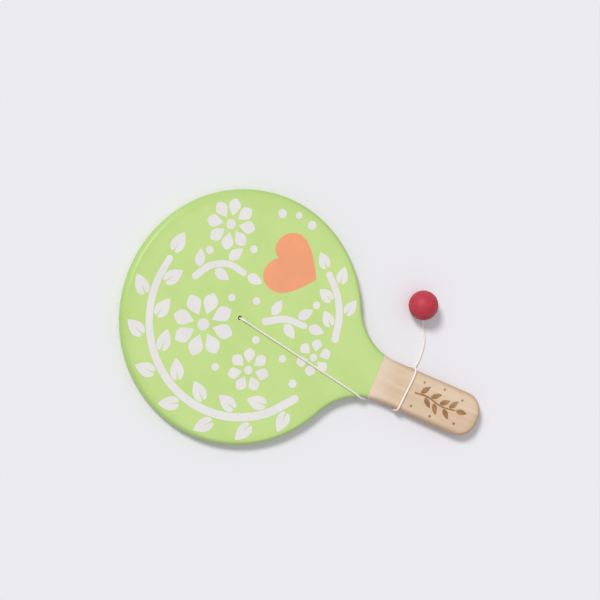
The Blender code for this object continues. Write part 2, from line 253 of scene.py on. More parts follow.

# Bare wood: how much of the toasted tone its flecks take, and its edges and end as toast with painted
# shade, how far the end's toast and shade reach and wander, and the pale wood beside the paint
FLECK_TOAST = 0.22
EDGE_TOAST_AND_SHADE = 0.44
END_TOAST_AND_SHADE = 0.16
END_TOAST_AND_SHADE_REACH = 0.0075
END_TOAST_AND_SHADE_START = -0.001
END_TOAST_AND_SHADE_WANDER = 0.006
PALE_WOOD = (233, 214, 193)
PALE_REACH = 0.016
PALE_STRENGTH = 0.62

# Paint: its deeper tone and its painted shade over the edges, as shares of its colour, how much the
# grain and the edge shade show in it, and the waves, wander, blur and step of the line where it ends
PAINT_DEEP = (0.925, 0.96, 0.895)
PAINT_EDGE_SHADE = (0.62, 0.72, 0.50)
GRAIN_IN_PAINT = 0.10
EDGE_SHADE_IN_PAINT = 0.70
PAINT_LINE_WAVES = (520, 160, 520)
PAINT_LINE_WANDER = 0.0010
PAINT_LINE_BLUR = 0.00012
PAINT_LINE_STEP = 0.7

# Deeper tones of the other finishes and the cord's painted valley shade, as shares of their colours
WHITE_INK_DEEP = (0.955, 0.955, 0.955)
CORAL_INK_DEEP = (0.93, 0.93, 0.93)
BURNED_DEEP = (0.68, 0.68, 0.68)
CORD_VALLEY_SHADE = (0.66, 0.65, 0.62)
BALL_DEEP = (0.86, 0.76, 0.80)
FLOOR_SHADE = (0.992, 0.992, 0.992)

# How much of other tones they show, with the tones of the ball's dust as a screen shows them
INK_PINHOLES = 0.35
GRAIN_IN_BURN = 0.30
CORD_WEAR = 0.10
BALL_DUST = (226, 150, 158)
BALL_DUST_STRENGTH = 0.16
SEAM_DUST = (226, 140, 150)
SEAM_DUST_STRENGTH = 0.22

# Roughness of the finishes that a user doesn't set
INK_ROUGHNESS = 0.50
BURNED_ROUGHNESS = 0.72
CORD_ROUGHNESS = 0.82
BALL_ROUGHNESS = (0.60, 0.52)
FLOOR_ROUGHNESS = 0.9

# Camera: the place on the board's face that it looks at, how far off it stands, its heading from
# there, its tilt from straight above, and the turn of the picture about the line of sight
CAMERA_TARGET = (0.0229, 0.0170)
CAMERA_DISTANCE = 1.913
CAMERA_HEADING = math.radians(99.51)
CAMERA_TILT = math.radians(21.93)
CAMERA_TURN = math.radians(193.81)
LENS_MM = 195.3
SENSOR_MM = 36.0

# Stage: the floor, and where the key light stands
FLOOR_RADIUS = 8.0
FLOOR_SIDES = 96
KEY_HEADING = math.radians(68)
KEY_HEIGHT = math.radians(46)
KEY_DISTANCE = 2.0

# Height of a printed film over the paint, and how far it goes into it
FILM_HEIGHT = 0.00003
FILM_ROOT = 0.00003

# Outlines of the print: width in millimetres of the slit along a leaf's vein and the share of the
# leaf at which it starts, where leaves and petals are fullest, and how round they are
VEIN_WIDTH = 1.0
VEIN_FOOT = 0.09
LEAF_FULLEST = 0.42
PETAL_FULLEST = 0.6
LEAF_ROUNDNESS = 0.85

# Smoothness of the print
LEAF_STEPS = 14
STEM_STEPS = 8
STEM_END_STEPS = 10
HEART_STEPS = 24
DOT_SIDES = 40
BURNED_DOT_SIDES = 20


def screen_colour(red, green, blue):
    """A colour as a screen shows it, 0 to 255, turned into Blender's linear values."""
    values = [channel / 255 for channel in (red, green, blue)]
    return tuple(v / 12.92 if v <= 0.04045 else ((v + 0.055) / 1.055) ** 2.4 for v in values)


def colour_property(name, description, red, green, blue):
    """A colour that a user may change."""
    return FloatVectorProperty(
        name=name,
        description=description,
        subtype="COLOR",
        size=3,
        min=0.0,
        max=1.0,
        default=screen_colour(red, green, blue),
    )


class PaddleBallColours(bpy.types.PropertyGroup):
    """Colours of the paddle, the cord and the ball."""

    paint: colour_property("Paint", "Satin paint on the head", 197, 221, 141)
    print_white: colour_property("White Print", "Vines, flowers and dots on the head", 231, 228, 226)
    print_coral: colour_property("Coral Print", "Heart on the head", 243, 162, 117)
    wood_light: colour_property("Light Wood", "Pale tone of the bare handle", 227, 204, 177)
    wood_dark: colour_property("Dark Wood", "Grain lines of the bare handle", 213, 185, 155)
    # Toasted tone of the wood's flecks, and toast with painted shade on the handle's edges and end
    wood_toasted_and_shade: colour_property("Toasted Wood", "Edges and end of the handle", 158, 112, 72)
    burned: colour_property("Burned Sprig", "Ornament burned into the handle", 168, 120, 74)
    cord: colour_property("Cord", "Cover of the elastic cord", 238, 231, 223)
    ball: colour_property("Ball", "Rubber of the ball", 185, 50, 68)
    floor: colour_property("Floor", "Plain floor and background", 236, 235, 240)


class PaddleBallSettings(bpy.types.PropertyGroup):
    """Finishes and light that a user may change."""

    cover_depth: FloatProperty(
        name="Cord Cover Depth",
        description="How deep the valleys between the strands of the cord's cover are",
        subtype="DISTANCE",
        unit="LENGTH",
        default=0.000045,
        min=0.0,
        max=0.0001,
    )
    paint_roughness: FloatProperty(
        name="Paint Roughness",
        description="Roughness of the satin paint",
        subtype="FACTOR",
        default=0.42,
        min=0.0,
        max=1.0,
    )
    wood_roughness: FloatProperty(
        name="Wood Roughness",
        description="Roughness of the bare wood",
        subtype="FACTOR",
        default=0.58,
        min=0.0,
        max=1.0,
    )
    ball_sides: IntProperty(
        name="Ball Sides",
        description="Faces round the ball",
        default=96,
        min=24,
        max=256,
    )
    key_light: FloatProperty(
        name="Key Light",
        description="Strength of the soft key light",
        default=2.10,
        min=0.0,
        soft_max=10.0,
    )
    key_softness: FloatProperty(
        name="Key Softness",
        description="Angle that the soft key light fills",
        subtype="ANGLE",
        unit="ROTATION",
        default=math.radians(14),
        min=0.0,
        max=math.radians(90),
    )
    room_light: FloatProperty(
        name="Room Light",
        description="Strength of the light that comes from all round",
        default=0.52,
        min=0.0,
        soft_max=2.0,
    )


def colours():
    """The user's colours."""
    return bpy.context.scene.paddle_ball_colours


def settings():
    """The user's finishes and light."""
    return bpy.context.scene.paddle_ball_settings


# Nodes of the materials

def feed(tree, socket, value):
    """Gives an input another node's output or a plain value."""
    if isinstance(value, bpy.types.NodeSocket):
        tree.links.new(value, socket)
    else:
        socket.default_value = value


def add_node(tree, kind, inputs=None, **options):
    """Adds a node with its inputs and options."""
    node = tree.nodes.new(kind)
    for name, value in options.items():
        setattr(node, name, value)
    for key, value in (inputs or {}).items():
        feed(tree, node.inputs[key], value)
    return node


def math_node(tree, operation, first, second):
    """The output of a Math node."""
    return add_node(tree, "ShaderNodeMath", {0: first, 1: second}, operation=operation).outputs[0]


def times(tree, value, share):
    """A value times a share."""
    return math_node(tree, "MULTIPLY", value, share)


def centred(tree, value, swing):
    """A value of 0 to 1 as one that swings about zero, by half the swing to either side."""
    return times(tree, math_node(tree, "SUBTRACT", value, 0.5), swing)


def blended(tree, first, first_share, second, second_share):
    """The sum of two values, each times its share."""
    return math_node(tree, "ADD", times(tree, first, first_share), times(tree, second, second_share))


def shaded(colour, shares):
    """A colour with each of its channels times its share."""
    return tuple(channel * share for channel, share in zip(colour, shares))


def mix_colours(tree, factor, first, second):
    """The output of a Mix node that mixes two colours."""
    inputs = {0: factor}
    for key, colour in ((6, first), (7, second)):
        inputs[key] = colour if isinstance(colour, bpy.types.NodeSocket) else (*colour, 1.0)
    return add_node(tree, "ShaderNodeMix", inputs, data_type="RGBA").outputs[2]


def smooth_range(tree, value, first, last, low=0.0, high=1.0):
    """A value that goes smoothly from low to high while another goes from first to last."""
    inputs = {0: value, 1: first, 2: last, 3: low, 4: high}
    node = add_node(tree, "ShaderNodeMapRange", inputs, interpolation_type="SMOOTHSTEP")
    return node.outputs[0]


def stretched(tree, place, scale):
    """A place stretched along the axes, in the units of a texture."""
    node = add_node(tree, "ShaderNodeMapping", {"Vector": place, "Scale": scale}, vector_type="POINT")
    return node.outputs[0]


def noise(tree, place, scale=1.0, detail=3.0, roughness=0.5, distortion=0.0):
    """The value of a noise texture."""
    inputs = {
        "Vector": place,
        "Scale": scale,
        "Detail": detail,
        "Roughness": roughness,
        "Distortion": distortion,
    }
    return add_node(tree, "ShaderNodeTexNoise", inputs, noise_dimensions="3D").outputs["Fac"]


def start_group(name, scales):
    """A new node group that takes a place and named scales, and what its inputs give."""
    group = bpy.data.node_groups.new(name, "ShaderNodeTree")
    group.interface.new_socket("Vector", in_out="INPUT", socket_type="NodeSocketVector")
    for label, value in scales.items():
        socket = group.interface.new_socket(label, in_out="INPUT", socket_type="NodeSocketFloat")
        socket.default_value = value
    return group, group.nodes.new("NodeGroupInput").outputs


def finish_group(group, values):
    """Puts named values out of a node group."""
    end = group.nodes.new("NodeGroupOutput")
    for label, value in values.items():
        group.interface.new_socket(label, in_out="OUTPUT", socket_type="NodeSocketFloat")
        group.links.new(value, end.inputs[label])
    return group


def wood_grain_group():
    """Grain that runs along Y: growth lines, fine pores and short dark flecks."""
    if "wood_grain" in bpy.data.node_groups:
        return bpy.data.node_groups["wood_grain"]
    group, start = start_group("wood_grain", {"Line Scale": LINE_WAVES})
    place = start["Vector"]
    drift = noise(group, stretched(group, place, DRIFT_WAVES), detail=2.0)
    bend = centred(group, drift, LINE_BEND)
    offset = add_node(group, "ShaderNodeCombineXYZ", {"X": bend, "Y": 0.0, "Z": bend}).outputs[0]
    inputs = {0: stretched(group, place, LINE_STRETCH), 1: offset}
    bent = add_node(group, "ShaderNodeVectorMath", inputs, operation="ADD").outputs[0]
    lines = noise(group, bent, start["Line Scale"], detail=4.0, roughness=0.62)
    bands = noise(group, bent, times(group, start["Line Scale"], BAND_SHARE), detail=2.0)
    tone = smooth_range(group, blended(group, lines, 0.55, bands, 0.45), 0.36, 0.64)
    pores = noise(group, stretched(group, place, PORE_WAVES), detail=1.0, roughness=0.4)
    flecks = smooth_range(group, pores, 0.655, 0.74)
    height = math_node(group, "SUBTRACT", times(group, tone, 0.6), flecks)
    return finish_group(group, {"Tone": tone, "Flecks": flecks, "Height": height})


def mottle_group():
    """Slight unevenness of a finish: slow drifts, cloudy patches and fine specks."""
    if "mottle" in bpy.data.node_groups:
        return bpy.data.node_groups["mottle"]
    group, start = start_group("mottle", {"Patch Scale": 60.0, "Speck Scale": 900.0})
    place = start["Vector"]
    patches = noise(group, place, start["Patch Scale"], detail=4.0, roughness=0.55, distortion=0.3)
    specks = noise(group, place, start["Speck Scale"], roughness=0.6)
    height = blended(group, specks, 0.6, patches, 0.4)
    return finish_group(group, {"Patches": patches, "Specks": specks, "Height": height})


def use_group(tree, group, **inputs):
    """Places a node group. Its inputs are given with underscores for spaces."""
    node = tree.nodes.new("ShaderNodeGroup")
    node.node_tree = group
    for name, value in inputs.items():
        feed(tree, node.inputs[name.replace("_", " ")], value)
    return node.outputs


def kept_tone(tree, name):
    """The value that add_tone keeps at each point of the mesh."""
    return add_node(tree, "ShaderNodeAttribute", attribute_name=name).outputs["Fac"]


def start_material(name):
    """A new node material, its tree, its shader and the object's own coordinates."""
    material = bpy.data.materials.new(name)
    material.use_nodes = True
    tree = material.node_tree
    place = tree.nodes.new("ShaderNodeTexCoord").outputs["Object"]
    return material, tree, tree.nodes["Principled BSDF"], place


def finish_material(tree, shader, colour, roughness, height, relief):
    """Joins a colour, a roughness and a height to the shader."""
    tree.links.new(colour, shader.inputs["Base Color"])
    feed(tree, shader.inputs["Roughness"], roughness)
    bump = add_node(tree, "ShaderNodeBump", {"Distance": relief, "Height": height})
    tree.links.new(bump.outputs[0], shader.inputs["Normal"])


def bare_wood(tree, along, edge, grain, cloud):
    """Bare wood: flecked, toasted with painted shade at its edges and end, pale beside the paint."""
    look = colours()
    wood = mix_colours(tree, grain["Tone"], look.wood_dark, look.wood_light)
    wood = mix_colours(tree, times(tree, grain["Flecks"], FLECK_TOAST), wood, look.wood_toasted_and_shade)
    # Toast with painted shade: the wood darkens over its rounded edges and towards the handle's end
    wander = centred(tree, cloud["Patches"], END_TOAST_AND_SHADE_WANDER)
    near_end = smooth_range(
        tree,
        math_node(tree, "ADD", along, wander),
        END_Y + END_TOAST_AND_SHADE_REACH,
        END_Y + END_TOAST_AND_SHADE_START,
    )
    toast_and_shade = blended(tree, smooth_range(tree, edge, 0.08, 0.90), EDGE_TOAST_AND_SHADE, near_end, END_TOAST_AND_SHADE)
    wood = mix_colours(tree, toast_and_shade, wood, look.wood_toasted_and_shade)
    near_paint = smooth_range(tree, along, PAINT_Y - PALE_REACH, PAINT_Y)
    return mix_colours(tree, times(tree, near_paint, PALE_STRENGTH), wood, screen_colour(*PALE_WOOD))


def head_paint(tree, edge, grain, cloud):
    """Colour of the paint: slightly uneven, grain faintly in it, painted shade over the edges."""
    paint = colours().paint
    deep = shaded(paint, PAINT_DEEP)
    tint = mix_colours(tree, smooth_range(tree, cloud["Patches"], 0.30, 0.70), deep, paint)
    between_lines = math_node(tree, "SUBTRACT", 1.0, grain["Tone"])
    tint = mix_colours(tree, times(tree, between_lines, GRAIN_IN_PAINT), tint, deep)
    # Painted shade: the paint darkens over the board's rounded edges
    paint_edge_shade = times(tree, smooth_range(tree, edge, 0.05, 0.85), EDGE_SHADE_IN_PAINT)
    return mix_colours(tree, paint_edge_shade, tint, shaded(paint, PAINT_EDGE_SHADE))


def painted_wood():
    """Satin paint on the head and bare wood on the handle, with the ragged line between them."""
    material, tree, shader, place = start_material("painted_wood")
    finish = settings()
    grain = use_group(tree, wood_grain_group(), Vector=place, Line_Scale=LINE_WAVES)
    cloud = use_group(tree, mottle_group(), Vector=place, Patch_Scale=38.0, Speck_Scale=1500.0)
    along = add_node(tree, "ShaderNodeSeparateXYZ", {0: place}).outputs["Y"]
    # Mask of the painted shade over the board's edges, with the toast on the bare wood
    edge = kept_tone(tree, "edge")

    ragged = noise(tree, stretched(tree, place, PAINT_LINE_WAVES), roughness=0.6)
    ragged = math_node(tree, "ADD", along, centred(tree, ragged, PAINT_LINE_WANDER))
    painted = smooth_range(tree, ragged, PAINT_Y - PAINT_LINE_BLUR, PAINT_Y + PAINT_LINE_BLUR)
    wood = bare_wood(tree, along, edge, grain, cloud)
    paint = head_paint(tree, edge, grain, cloud)
    colour = mix_colours(tree, painted, wood, paint)

    rough = smooth_range(tree, painted, 0.0, 1.0, finish.wood_roughness, finish.paint_roughness)
    rough = math_node(tree, "ADD", rough, centred(tree, cloud["Specks"], swing=0.12))
    wood_height = times(tree, grain["Height"], 0.30)
    paint_height = blended(tree, cloud["Height"], 0.22, grain["Height"], 0.07)
    paint_height = math_node(tree, "ADD", paint_height, PAINT_LINE_STEP)
    inputs = {0: painted, 2: wood_height, 3: paint_height}
    height = add_node(tree, "ShaderNodeMix", inputs, data_type="FLOAT").outputs[0]
    finish_material(tree, shader, colour, rough, height, relief=0.00008)
    shader.inputs["Specular IOR Level"].default_value = 0.45
    return material


def printed_ink(name, ink, deep_shares):
    """Flat screen ink, slightly uneven, with the grain of the wood faintly through it."""
    material, tree, shader, place = start_material(name)
    grain = use_group(tree, wood_grain_group(), Vector=place, Line_Scale=LINE_WAVES)
    cloud = use_group(tree, mottle_group(), Vector=place, Patch_Scale=70.0, Speck_Scale=1900.0)
    drift = smooth_range(tree, cloud["Patches"], 0.3, 0.7)
    colour = mix_colours(tree, drift, shaded(ink, deep_shares), ink)
    pinholes = times(tree, smooth_range(tree, cloud["Specks"], 0.66, 0.80), INK_PINHOLES)
    colour = mix_colours(tree, pinholes, colour, colours().paint)
    rough = math_node(tree, "ADD", centred(tree, cloud["Specks"], swing=0.10), INK_ROUGHNESS)
    height = blended(tree, cloud["Height"], 0.30, grain["Height"], 0.12)
    finish_material(tree, shader, colour, rough, height, relief=0.00006)
    return material


def burned_wood():
    """Wood browned by a hot die, darker along its grain."""
    material, tree, shader, place = start_material("burned_wood")
    look = colours()
    grain = use_group(tree, wood_grain_group(), Vector=place, Line_Scale=LINE_WAVES)
    cloud = use_group(tree, mottle_group(), Vector=place, Patch_Scale=420.0, Speck_Scale=2600.0)
    burn = smooth_range(tree, cloud["Patches"], 0.35, 0.68)
    colour = mix_colours(tree, burn, shaded(look.burned, BURNED_DEEP), look.burned)
    colour = mix_colours(tree, times(tree, grain["Tone"], GRAIN_IN_BURN), colour, look.wood_dark)
    height = math_node(tree, "ADD", cloud["Height"], grain["Height"])
    finish_material(tree, shader, colour, BURNED_ROUGHNESS, height, relief=0.00006)
    return material


def cord_cover():
    """White woven cover of the elastic, with painted shade in the valleys between its strands."""
    material, tree, shader, place = start_material("cord_cover")
    cord = colours().cord
    cloud = use_group(tree, mottle_group(), Vector=place, Patch_Scale=260.0, Speck_Scale=5200.0)
    # Painted shade darkens the valleys between the strands; the worn patches take the same tone
    valley = shaded(cord, CORD_VALLEY_SHADE)
    raised = smooth_range(tree, kept_tone(tree, "relief"), 0.05, 0.75)
    colour = mix_colours(tree, raised, valley, cord)
    worn = times(tree, smooth_range(tree, cloud["Patches"], 0.5, 0.8), CORD_WEAR)
    colour = mix_colours(tree, worn, colour, valley)
    finish_material(tree, shader, colour, CORD_ROUGHNESS, cloud["Specks"], relief=0.00003)
    shader.inputs["Sheen Weight"].default_value = 0.25
    shader.inputs["Sheen Roughness"].default_value = 0.5
    return material


def ball_rubber():
    """Solid red rubber: satin, faintly mottled, dusty on its parting line."""
    material, tree, shader, place = start_material("ball_rubber")
    ball = colours().ball
    cloud = use_group(tree, mottle_group(), Vector=place, Patch_Scale=230.0, Speck_Scale=1700.0)
    drift = smooth_range(tree, cloud["Patches"], 0.32, 0.68)
    colour = mix_colours(tree, drift, shaded(ball, BALL_DEEP), ball)
    dust = smooth_range(tree, cloud["Specks"], 0.60, 0.78, 0.0, BALL_DUST_STRENGTH)
    colour = mix_colours(tree, dust, colour, screen_colour(*BALL_DUST))
    seam = times(tree, kept_tone(tree, "seam"), SEAM_DUST_STRENGTH)
    colour = mix_colours(tree, seam, colour, screen_colour(*SEAM_DUST))
    rough = smooth_range(tree, cloud["Patches"], 0.3, 0.7, *BALL_ROUGHNESS)
    finish_material(tree, shader, colour, rough, cloud["Height"], relief=0.00007)
    shader.inputs["Specular IOR Level"].default_value = 0.40
    return material


# Pieces and meshes

def add_piece(name, mesh, material, body, replaced=(), place=None):
    """Adds a piece that rides on a body of the frame and takes the place of its plain solids."""
    piece = bpy.data.objects.new(name, mesh)
    bpy.context.scene.collection.objects.link(piece)
    mesh.materials.append(material)
    if place is not None:
        piece.matrix_world = place
    bpy.context.view_layer.update()
    if body:
        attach(piece, body)
    if replaced:
        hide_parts(*replaced)
    return piece


def board_on_floor():
    """The board's place: it leans on its far rim, as its rest face in the record does."""
    axis = RECORD["mounts"][0]["axis"]
    lean = math.atan2(-axis[1], -axis[2])
    rim = Matrix.Translation((0, RIM_Y, 0))
    return rim @ Matrix.Rotation(-lean, 4, "X") @ rim.inverted()


def mesh_from(name, points, faces, smooth_angle=SHARP_ANGLE):
    """A mesh from points and faces, shaded smooth up to an angle."""
    mesh = bpy.data.meshes.new(name)
    mesh.from_pydata([tuple(p) for p in points], [], faces)
    mesh.validate()
    shape = bmesh.new()
    shape.from_mesh(mesh)
    bmesh.ops.recalc_face_normals(shape, faces=shape.faces[:])
    shape.to_mesh(mesh)
    shape.free()
    mesh.shade_smooth()
    mesh.set_sharp_from_angle(angle=smooth_angle)
    return mesh


def add_tone(mesh, name, values):
    """Keeps a value at each point of a mesh, for its material."""
    layer = mesh.attributes.new(name, "FLOAT", "POINT")
    layer.data.foreach_set("value", np.array(values, dtype=np.float32))


def ring_faces(rings, sides):
    """Faces between rings of points, and one over each end."""
    faces = []
    for low in range(0, (rings - 1) * sides, sides):
        high = low + sides
        for k in range(sides):
            following = (k + 1) % sides
            faces.append((low + k, low + following, high + following, high + k))
    faces.append(tuple(range(sides))[::-1])
    faces.append(tuple(range((rings - 1) * sides, rings * sides)))
    return faces


def working_copy(name, mesh):
    """A temporary object, for modifiers to work on."""
    copy = bpy.data.objects.new(name, mesh)
    bpy.context.scene.collection.objects.link(copy)
    return copy


def applied(copy):
    """The mesh of a temporary object with its modifiers applied. The object is removed."""
    graph = bpy.context.evaluated_depsgraph_get()
    mesh = bpy.data.meshes.new_from_object(copy.evaluated_get(graph))
    bpy.data.objects.remove(copy)
    return mesh


# Lines

def direction(angle):
    """The unit vector at an angle."""
    return np.array([math.cos(angle), math.sin(angle)])


def angle_of(vector):
    """The angle of a flat vector."""
    return math.atan2(vector[1], vector[0])


def unit_vectors(vectors):
    """Vectors made one long."""
    return vectors / np.linalg.norm(vectors, axis=1)[:, None]


def distances_along(points):
    """The distance along a line at each of its points."""
    steps = np.linalg.norm(np.diff(points, axis=0), axis=1)
    return np.concatenate([[0.0], np.cumsum(steps)])


def smooth_curve(points, positions=None):
    """A function that passes smoothly through points, by the distance along them or by position."""
    points = np.array(points, dtype=float)
    if positions is None:
        positions = distances_along(points)
    positions = np.array(positions, dtype=float)
    slopes = np.gradient(points, positions, axis=0)

    def at(position):
        """The point at a position."""
        k = int(np.clip(np.searchsorted(positions, position) - 1, 0, len(points) - 2))
        span = positions[k + 1] - positions[k]
        t = (position - positions[k]) / span
        start = points[k] * (1 + 2 * t) * (1 - t) ** 2 + slopes[k] * span * t * (1 - t) ** 2
        finish = points[k + 1] * t ** 2 * (3 - 2 * t) - slopes[k + 1] * span * t ** 2 * (1 - t)
        return start + finish

    return at, float(positions[-1])


def resampled(points, spacing):
    """Points at even distances along a line, and the line's length."""
    places = np.array([tuple(p) for p in points])
    steps = np.linalg.norm(np.diff(places, axis=0), axis=1)
    places = places[np.concatenate([[True], steps > SAME_PLACE])]
    along = distances_along(places)
    length = float(along[-1])
    even = np.linspace(0.0, length, max(2, round(length / spacing)) + 1)
    return np.stack([np.interp(even, along, places[:, k]) for k in range(3)], axis=1), length


def eased(centres, reach):
    """A line with its bends eased over a reach on either side of each point, its ends kept."""
    spacing = float(np.linalg.norm(centres[1] - centres[0]))
    count = round(reach / spacing)
    before = 2 * centres[0] - centres[count:0:-1]
    after = 2 * centres[-1] - centres[-2:-count - 2:-1]
    padded = np.concatenate([before, centres, after])
    weights = np.hanning(2 * count + 3)[1:-1]
    weights /= weights.sum()
    return np.stack([np.convolve(padded[:, k], weights, mode="valid") for k in range(3)], axis=1)


# Shape of the board

class HandleSide:
    """The straight side of the handle with the arcs that join it to the head and to the end."""

    def __init__(self):
        """Finds the line of the side, and where the two arcs touch it and the head."""
        half_neck = HANDLE_WIDTH_AT_NECK / 2
        half_end = HANDLE_WIDTH_AT_END / 2
        self.flare = math.atan2(half_end - half_neck, HANDLE_REACH - HEAD_RADIUS)
        self.along = direction(self.flare)
        self.outward = np.array([-self.along[1], self.along[0]])
        self.distance = float(self.outward @ np.array([HEAD_RADIUS, half_neck]))
        fillet_distance = self.distance + NECK_FILLET
        centre_distance = HEAD_RADIUS + NECK_FILLET
        run = math.sqrt(centre_distance ** 2 - fillet_distance ** 2)
        self.fillet_centre = fillet_distance * self.outward + run * self.along
        self.on_head = self.fillet_centre * HEAD_RADIUS / centre_distance
        self.on_side = self.fillet_centre - NECK_FILLET * self.outward
        corner_distance = self.distance - END_CORNER
        run = HANDLE_REACH - END_CORNER + corner_distance * math.sin(self.flare)
        run /= math.cos(self.flare)
        self.corner_centre = corner_distance * self.outward + run * self.along
        self.corner_start = self.corner_centre + END_CORNER * self.outward

    def half_width(self, reach):
        """Half the width of the handle or the neck at a distance from the head's centre."""
        if reach < self.on_side[0]:
            run = reach - self.fillet_centre[0]
            return self.fillet_centre[1] - math.sqrt(NECK_FILLET ** 2 - run ** 2)
        return (self.distance + reach * math.sin(self.flare)) / math.cos(self.flare)


def arc_points(centre, radius, first, last, steps):
    """Points on an arc, both ends included."""
    return [centre + radius * direction(angle) for angle in np.linspace(first, last, steps + 1)]


def half_outline(side):
    """One side of the board's outline, as (reach, half width), from the head's rim to the end."""
    last = angle_of(side.on_head)
    steps = round((math.pi - last) / CIRCLE_STEP)
    points = arc_points(np.zeros(2), HEAD_RADIUS, math.pi, last, steps)
    first = angle_of(side.on_head - side.fillet_centre) % (2 * math.pi)
    last = angle_of(-side.outward) % (2 * math.pi)
    points += arc_points(side.fillet_centre, NECK_FILLET, first, last, FILLET_STEPS)[1:]
    begin = points[-1]
    straight = side.corner_start - begin
    steps = round(float(np.linalg.norm(straight)) / STRAIGHT_STEP)
    points += [begin + straight * k / steps for k in range(1, steps)]
    first = angle_of(side.outward)
    points += arc_points(side.corner_centre, END_CORNER, first, 0.0, CORNER_STEPS)
    return points


def board_outline(side):
    """The whole outline as (x, y), anticlockwise seen from above, with its outward normals."""
    half = half_outline(side)
    right = [(width, HEAD_Y - reach) for reach, width in half]
    left = [(-x, y) for x, y in right[1:]]
    outline = np.array(left + right[:0:-1] + [right[0]])
    before = unit_vectors(outline - np.roll(outline, 1, axis=0))
    after = unit_vectors(np.roll(outline, -1, axis=0) - outline)
    tangent = unit_vectors(before + after)
    return outline, np.stack([tangent[:, 1], -tangent[:, 0]], axis=1)


def board_mesh(side):
    """The board with rounded edges, as rings of its outline from the underside to the face."""
    outline, outward = board_outline(side)
    rings = [(inset, 0.0, tone) for inset, tone in reversed(FLAT_RINGS)]
    for k in range(EDGE_STEPS + 1):
        angle = math.pi / 2 * (1 - k / EDGE_STEPS)
        inset = EDGE_ROUND * (1 - math.cos(angle))
        tone = ROUNDING_TONE + (1 - ROUNDING_TONE) * math.cos(angle)
        rings.append((inset, EDGE_ROUND * (1 - math.sin(angle)), tone))
    rings += [(inset, BOARD_THICKNESS - z, tone) for inset, z, tone in reversed(rings)]
    points = []
    tones = []
    for inset, z, tone in rings:
        points += [(x, y, z) for x, y in outline - outward * inset]
        tones += [tone] * len(outline)
    mesh = mesh_from("board_blank", points, ring_faces(len(rings), len(outline)))
    # The edge tone places the painted shade over the rounded edges, and the toast on the bare wood
    add_tone(mesh, "edge", tones)
    return mesh


def turned_mesh(name, profile, sides):
    """A solid turned about Z from a profile of (radius, z) that starts and ends on the axis."""
    points = []
    rings = []
    for radius, z in profile:
        steps = 1 if radius == 0.0 else sides
        rings.append([len(points) + k for k in range(steps)])
        for k in range(steps):
            angle = 2 * math.pi * k / sides
            points.append((radius * math.cos(angle), radius * math.sin(angle), z))
    faces = []
    for lower, upper in zip(rings, rings[1:]):
        for k in range(sides):
            corners = [lower[k % len(lower)], lower[(k + 1) % len(lower)]]
            corners += [upper[(k + 1) % len(upper)], upper[k % len(upper)]]
            faces.append(tuple(dict.fromkeys(corners)))
    return mesh_from(name, points, faces)


def rounded_mouth(bore, radius, surface_z):
    """Profile of a mouth that rounds over from a bore's wall to a flat surface above it."""
    profile = []
    for k in range(MOUTH_STEPS + 1):
        angle = math.pi / 2 * k / MOUTH_STEPS
        reach = bore + radius * (1 - math.cos(angle))
        profile.append((reach, surface_z - radius * (1 - math.sin(angle))))
    return profile


def drill_profile():
    """Half section of what is drilled out of the board, from below it to above it."""
    bore = CORD_BORE_DIAMETER / 2
    recess = KNOT_RECESS_DIAMETER / 2
    mouth = bore + BORE_MOUTH_CHAMFER
    # How far the tool goes past the board, the recess's bevel and how far below the board it starts,
    # the recess's corner, the dish of its floor, and the bore's corner in it
    beyond = 0.002
    bevel = 0.0004
    below = 0.0001
    corner = 0.0005
    dish = 0.0001
    ease = 0.0002
    return [
        (0.0, -beyond),
        (recess + bevel, -beyond),
        (recess + bevel, -below),
        (recess, bevel - below),
        (recess, KNOT_RECESS_DEPTH - dish - corner),
        (recess - corner, KNOT_RECESS_DEPTH - dish),
        (bore + ease, KNOT_RECESS_DEPTH),
        (bore, KNOT_RECESS_DEPTH + ease),
        *rounded_mouth(bore, BORE_MOUTH_CHAMFER, BOARD_THICKNESS),
        (mouth, BOARD_THICKNESS + beyond),
        (0.0, BOARD_THICKNESS + beyond),
    ]


def cut_hole(mesh):
    """The board's mesh with the cord's hole and the knot's recess cut out of it."""
    drill_mesh = turned_mesh("drill", drill_profile(), DRILL_SIDES)
    drill_mesh.transform(Matrix.Translation((HOLE_SIDE, HOLE_Y, 0)))
    board = working_copy("board_blank", mesh)
    drill = working_copy("drill", drill_mesh)
    boolean = board.modifiers.new("hole", "BOOLEAN")
    boolean.operation = "DIFFERENCE"
    boolean.solver = "EXACT"
    boolean.object = drill
    result = applied(board)
    bpy.data.objects.remove(drill)
    result.materials.clear()
    result.shade_smooth()
    result.set_sharp_from_angle(angle=SHARP_ANGLE)
    return evenly_shaded(result)


def evenly_shaded(mesh):
    """The mesh with its flats shaded flat right up to the rounded edges that they run into."""
    copy = working_copy("blank", mesh)
    copy.modifiers.new("flats", "WEIGHTED_NORMAL").keep_sharp = True
    return applied(copy)


# Shapes of the print

def leaf_shape(base, angle, length, width, fullest=LEAF_FULLEST, vein=0.0):
    """Outline of a pointed leaf or petal, fullest at a share of its length, slit along its vein."""
    first = VEIN_FOOT if vein else 0.0
    shares = np.linspace(first, 1, LEAF_STEPS + 1)
    power = math.log(0.5) / math.log(fullest)
    halves = width / 2 * np.sin(math.pi * shares ** power) ** LEAF_ROUNDNESS
    along = direction(angle)
    across = np.array([-along[1], along[0]])
    base = np.array(base, dtype=float)
    one_side = [base + along * length * s + across * h for s, h in zip(shares, halves)]
    other_side = [base + along * length * s - across * h for s, h in zip(shares, halves)]
    if not vein:
        return one_side + other_side[-2:0:-1]
    slit = across * VEIN_WIDTH / 2
    foot = base + along * length * first
    return one_side + other_side[-2::-1] + [foot - slit, base + along * length * vein, foot + slit]


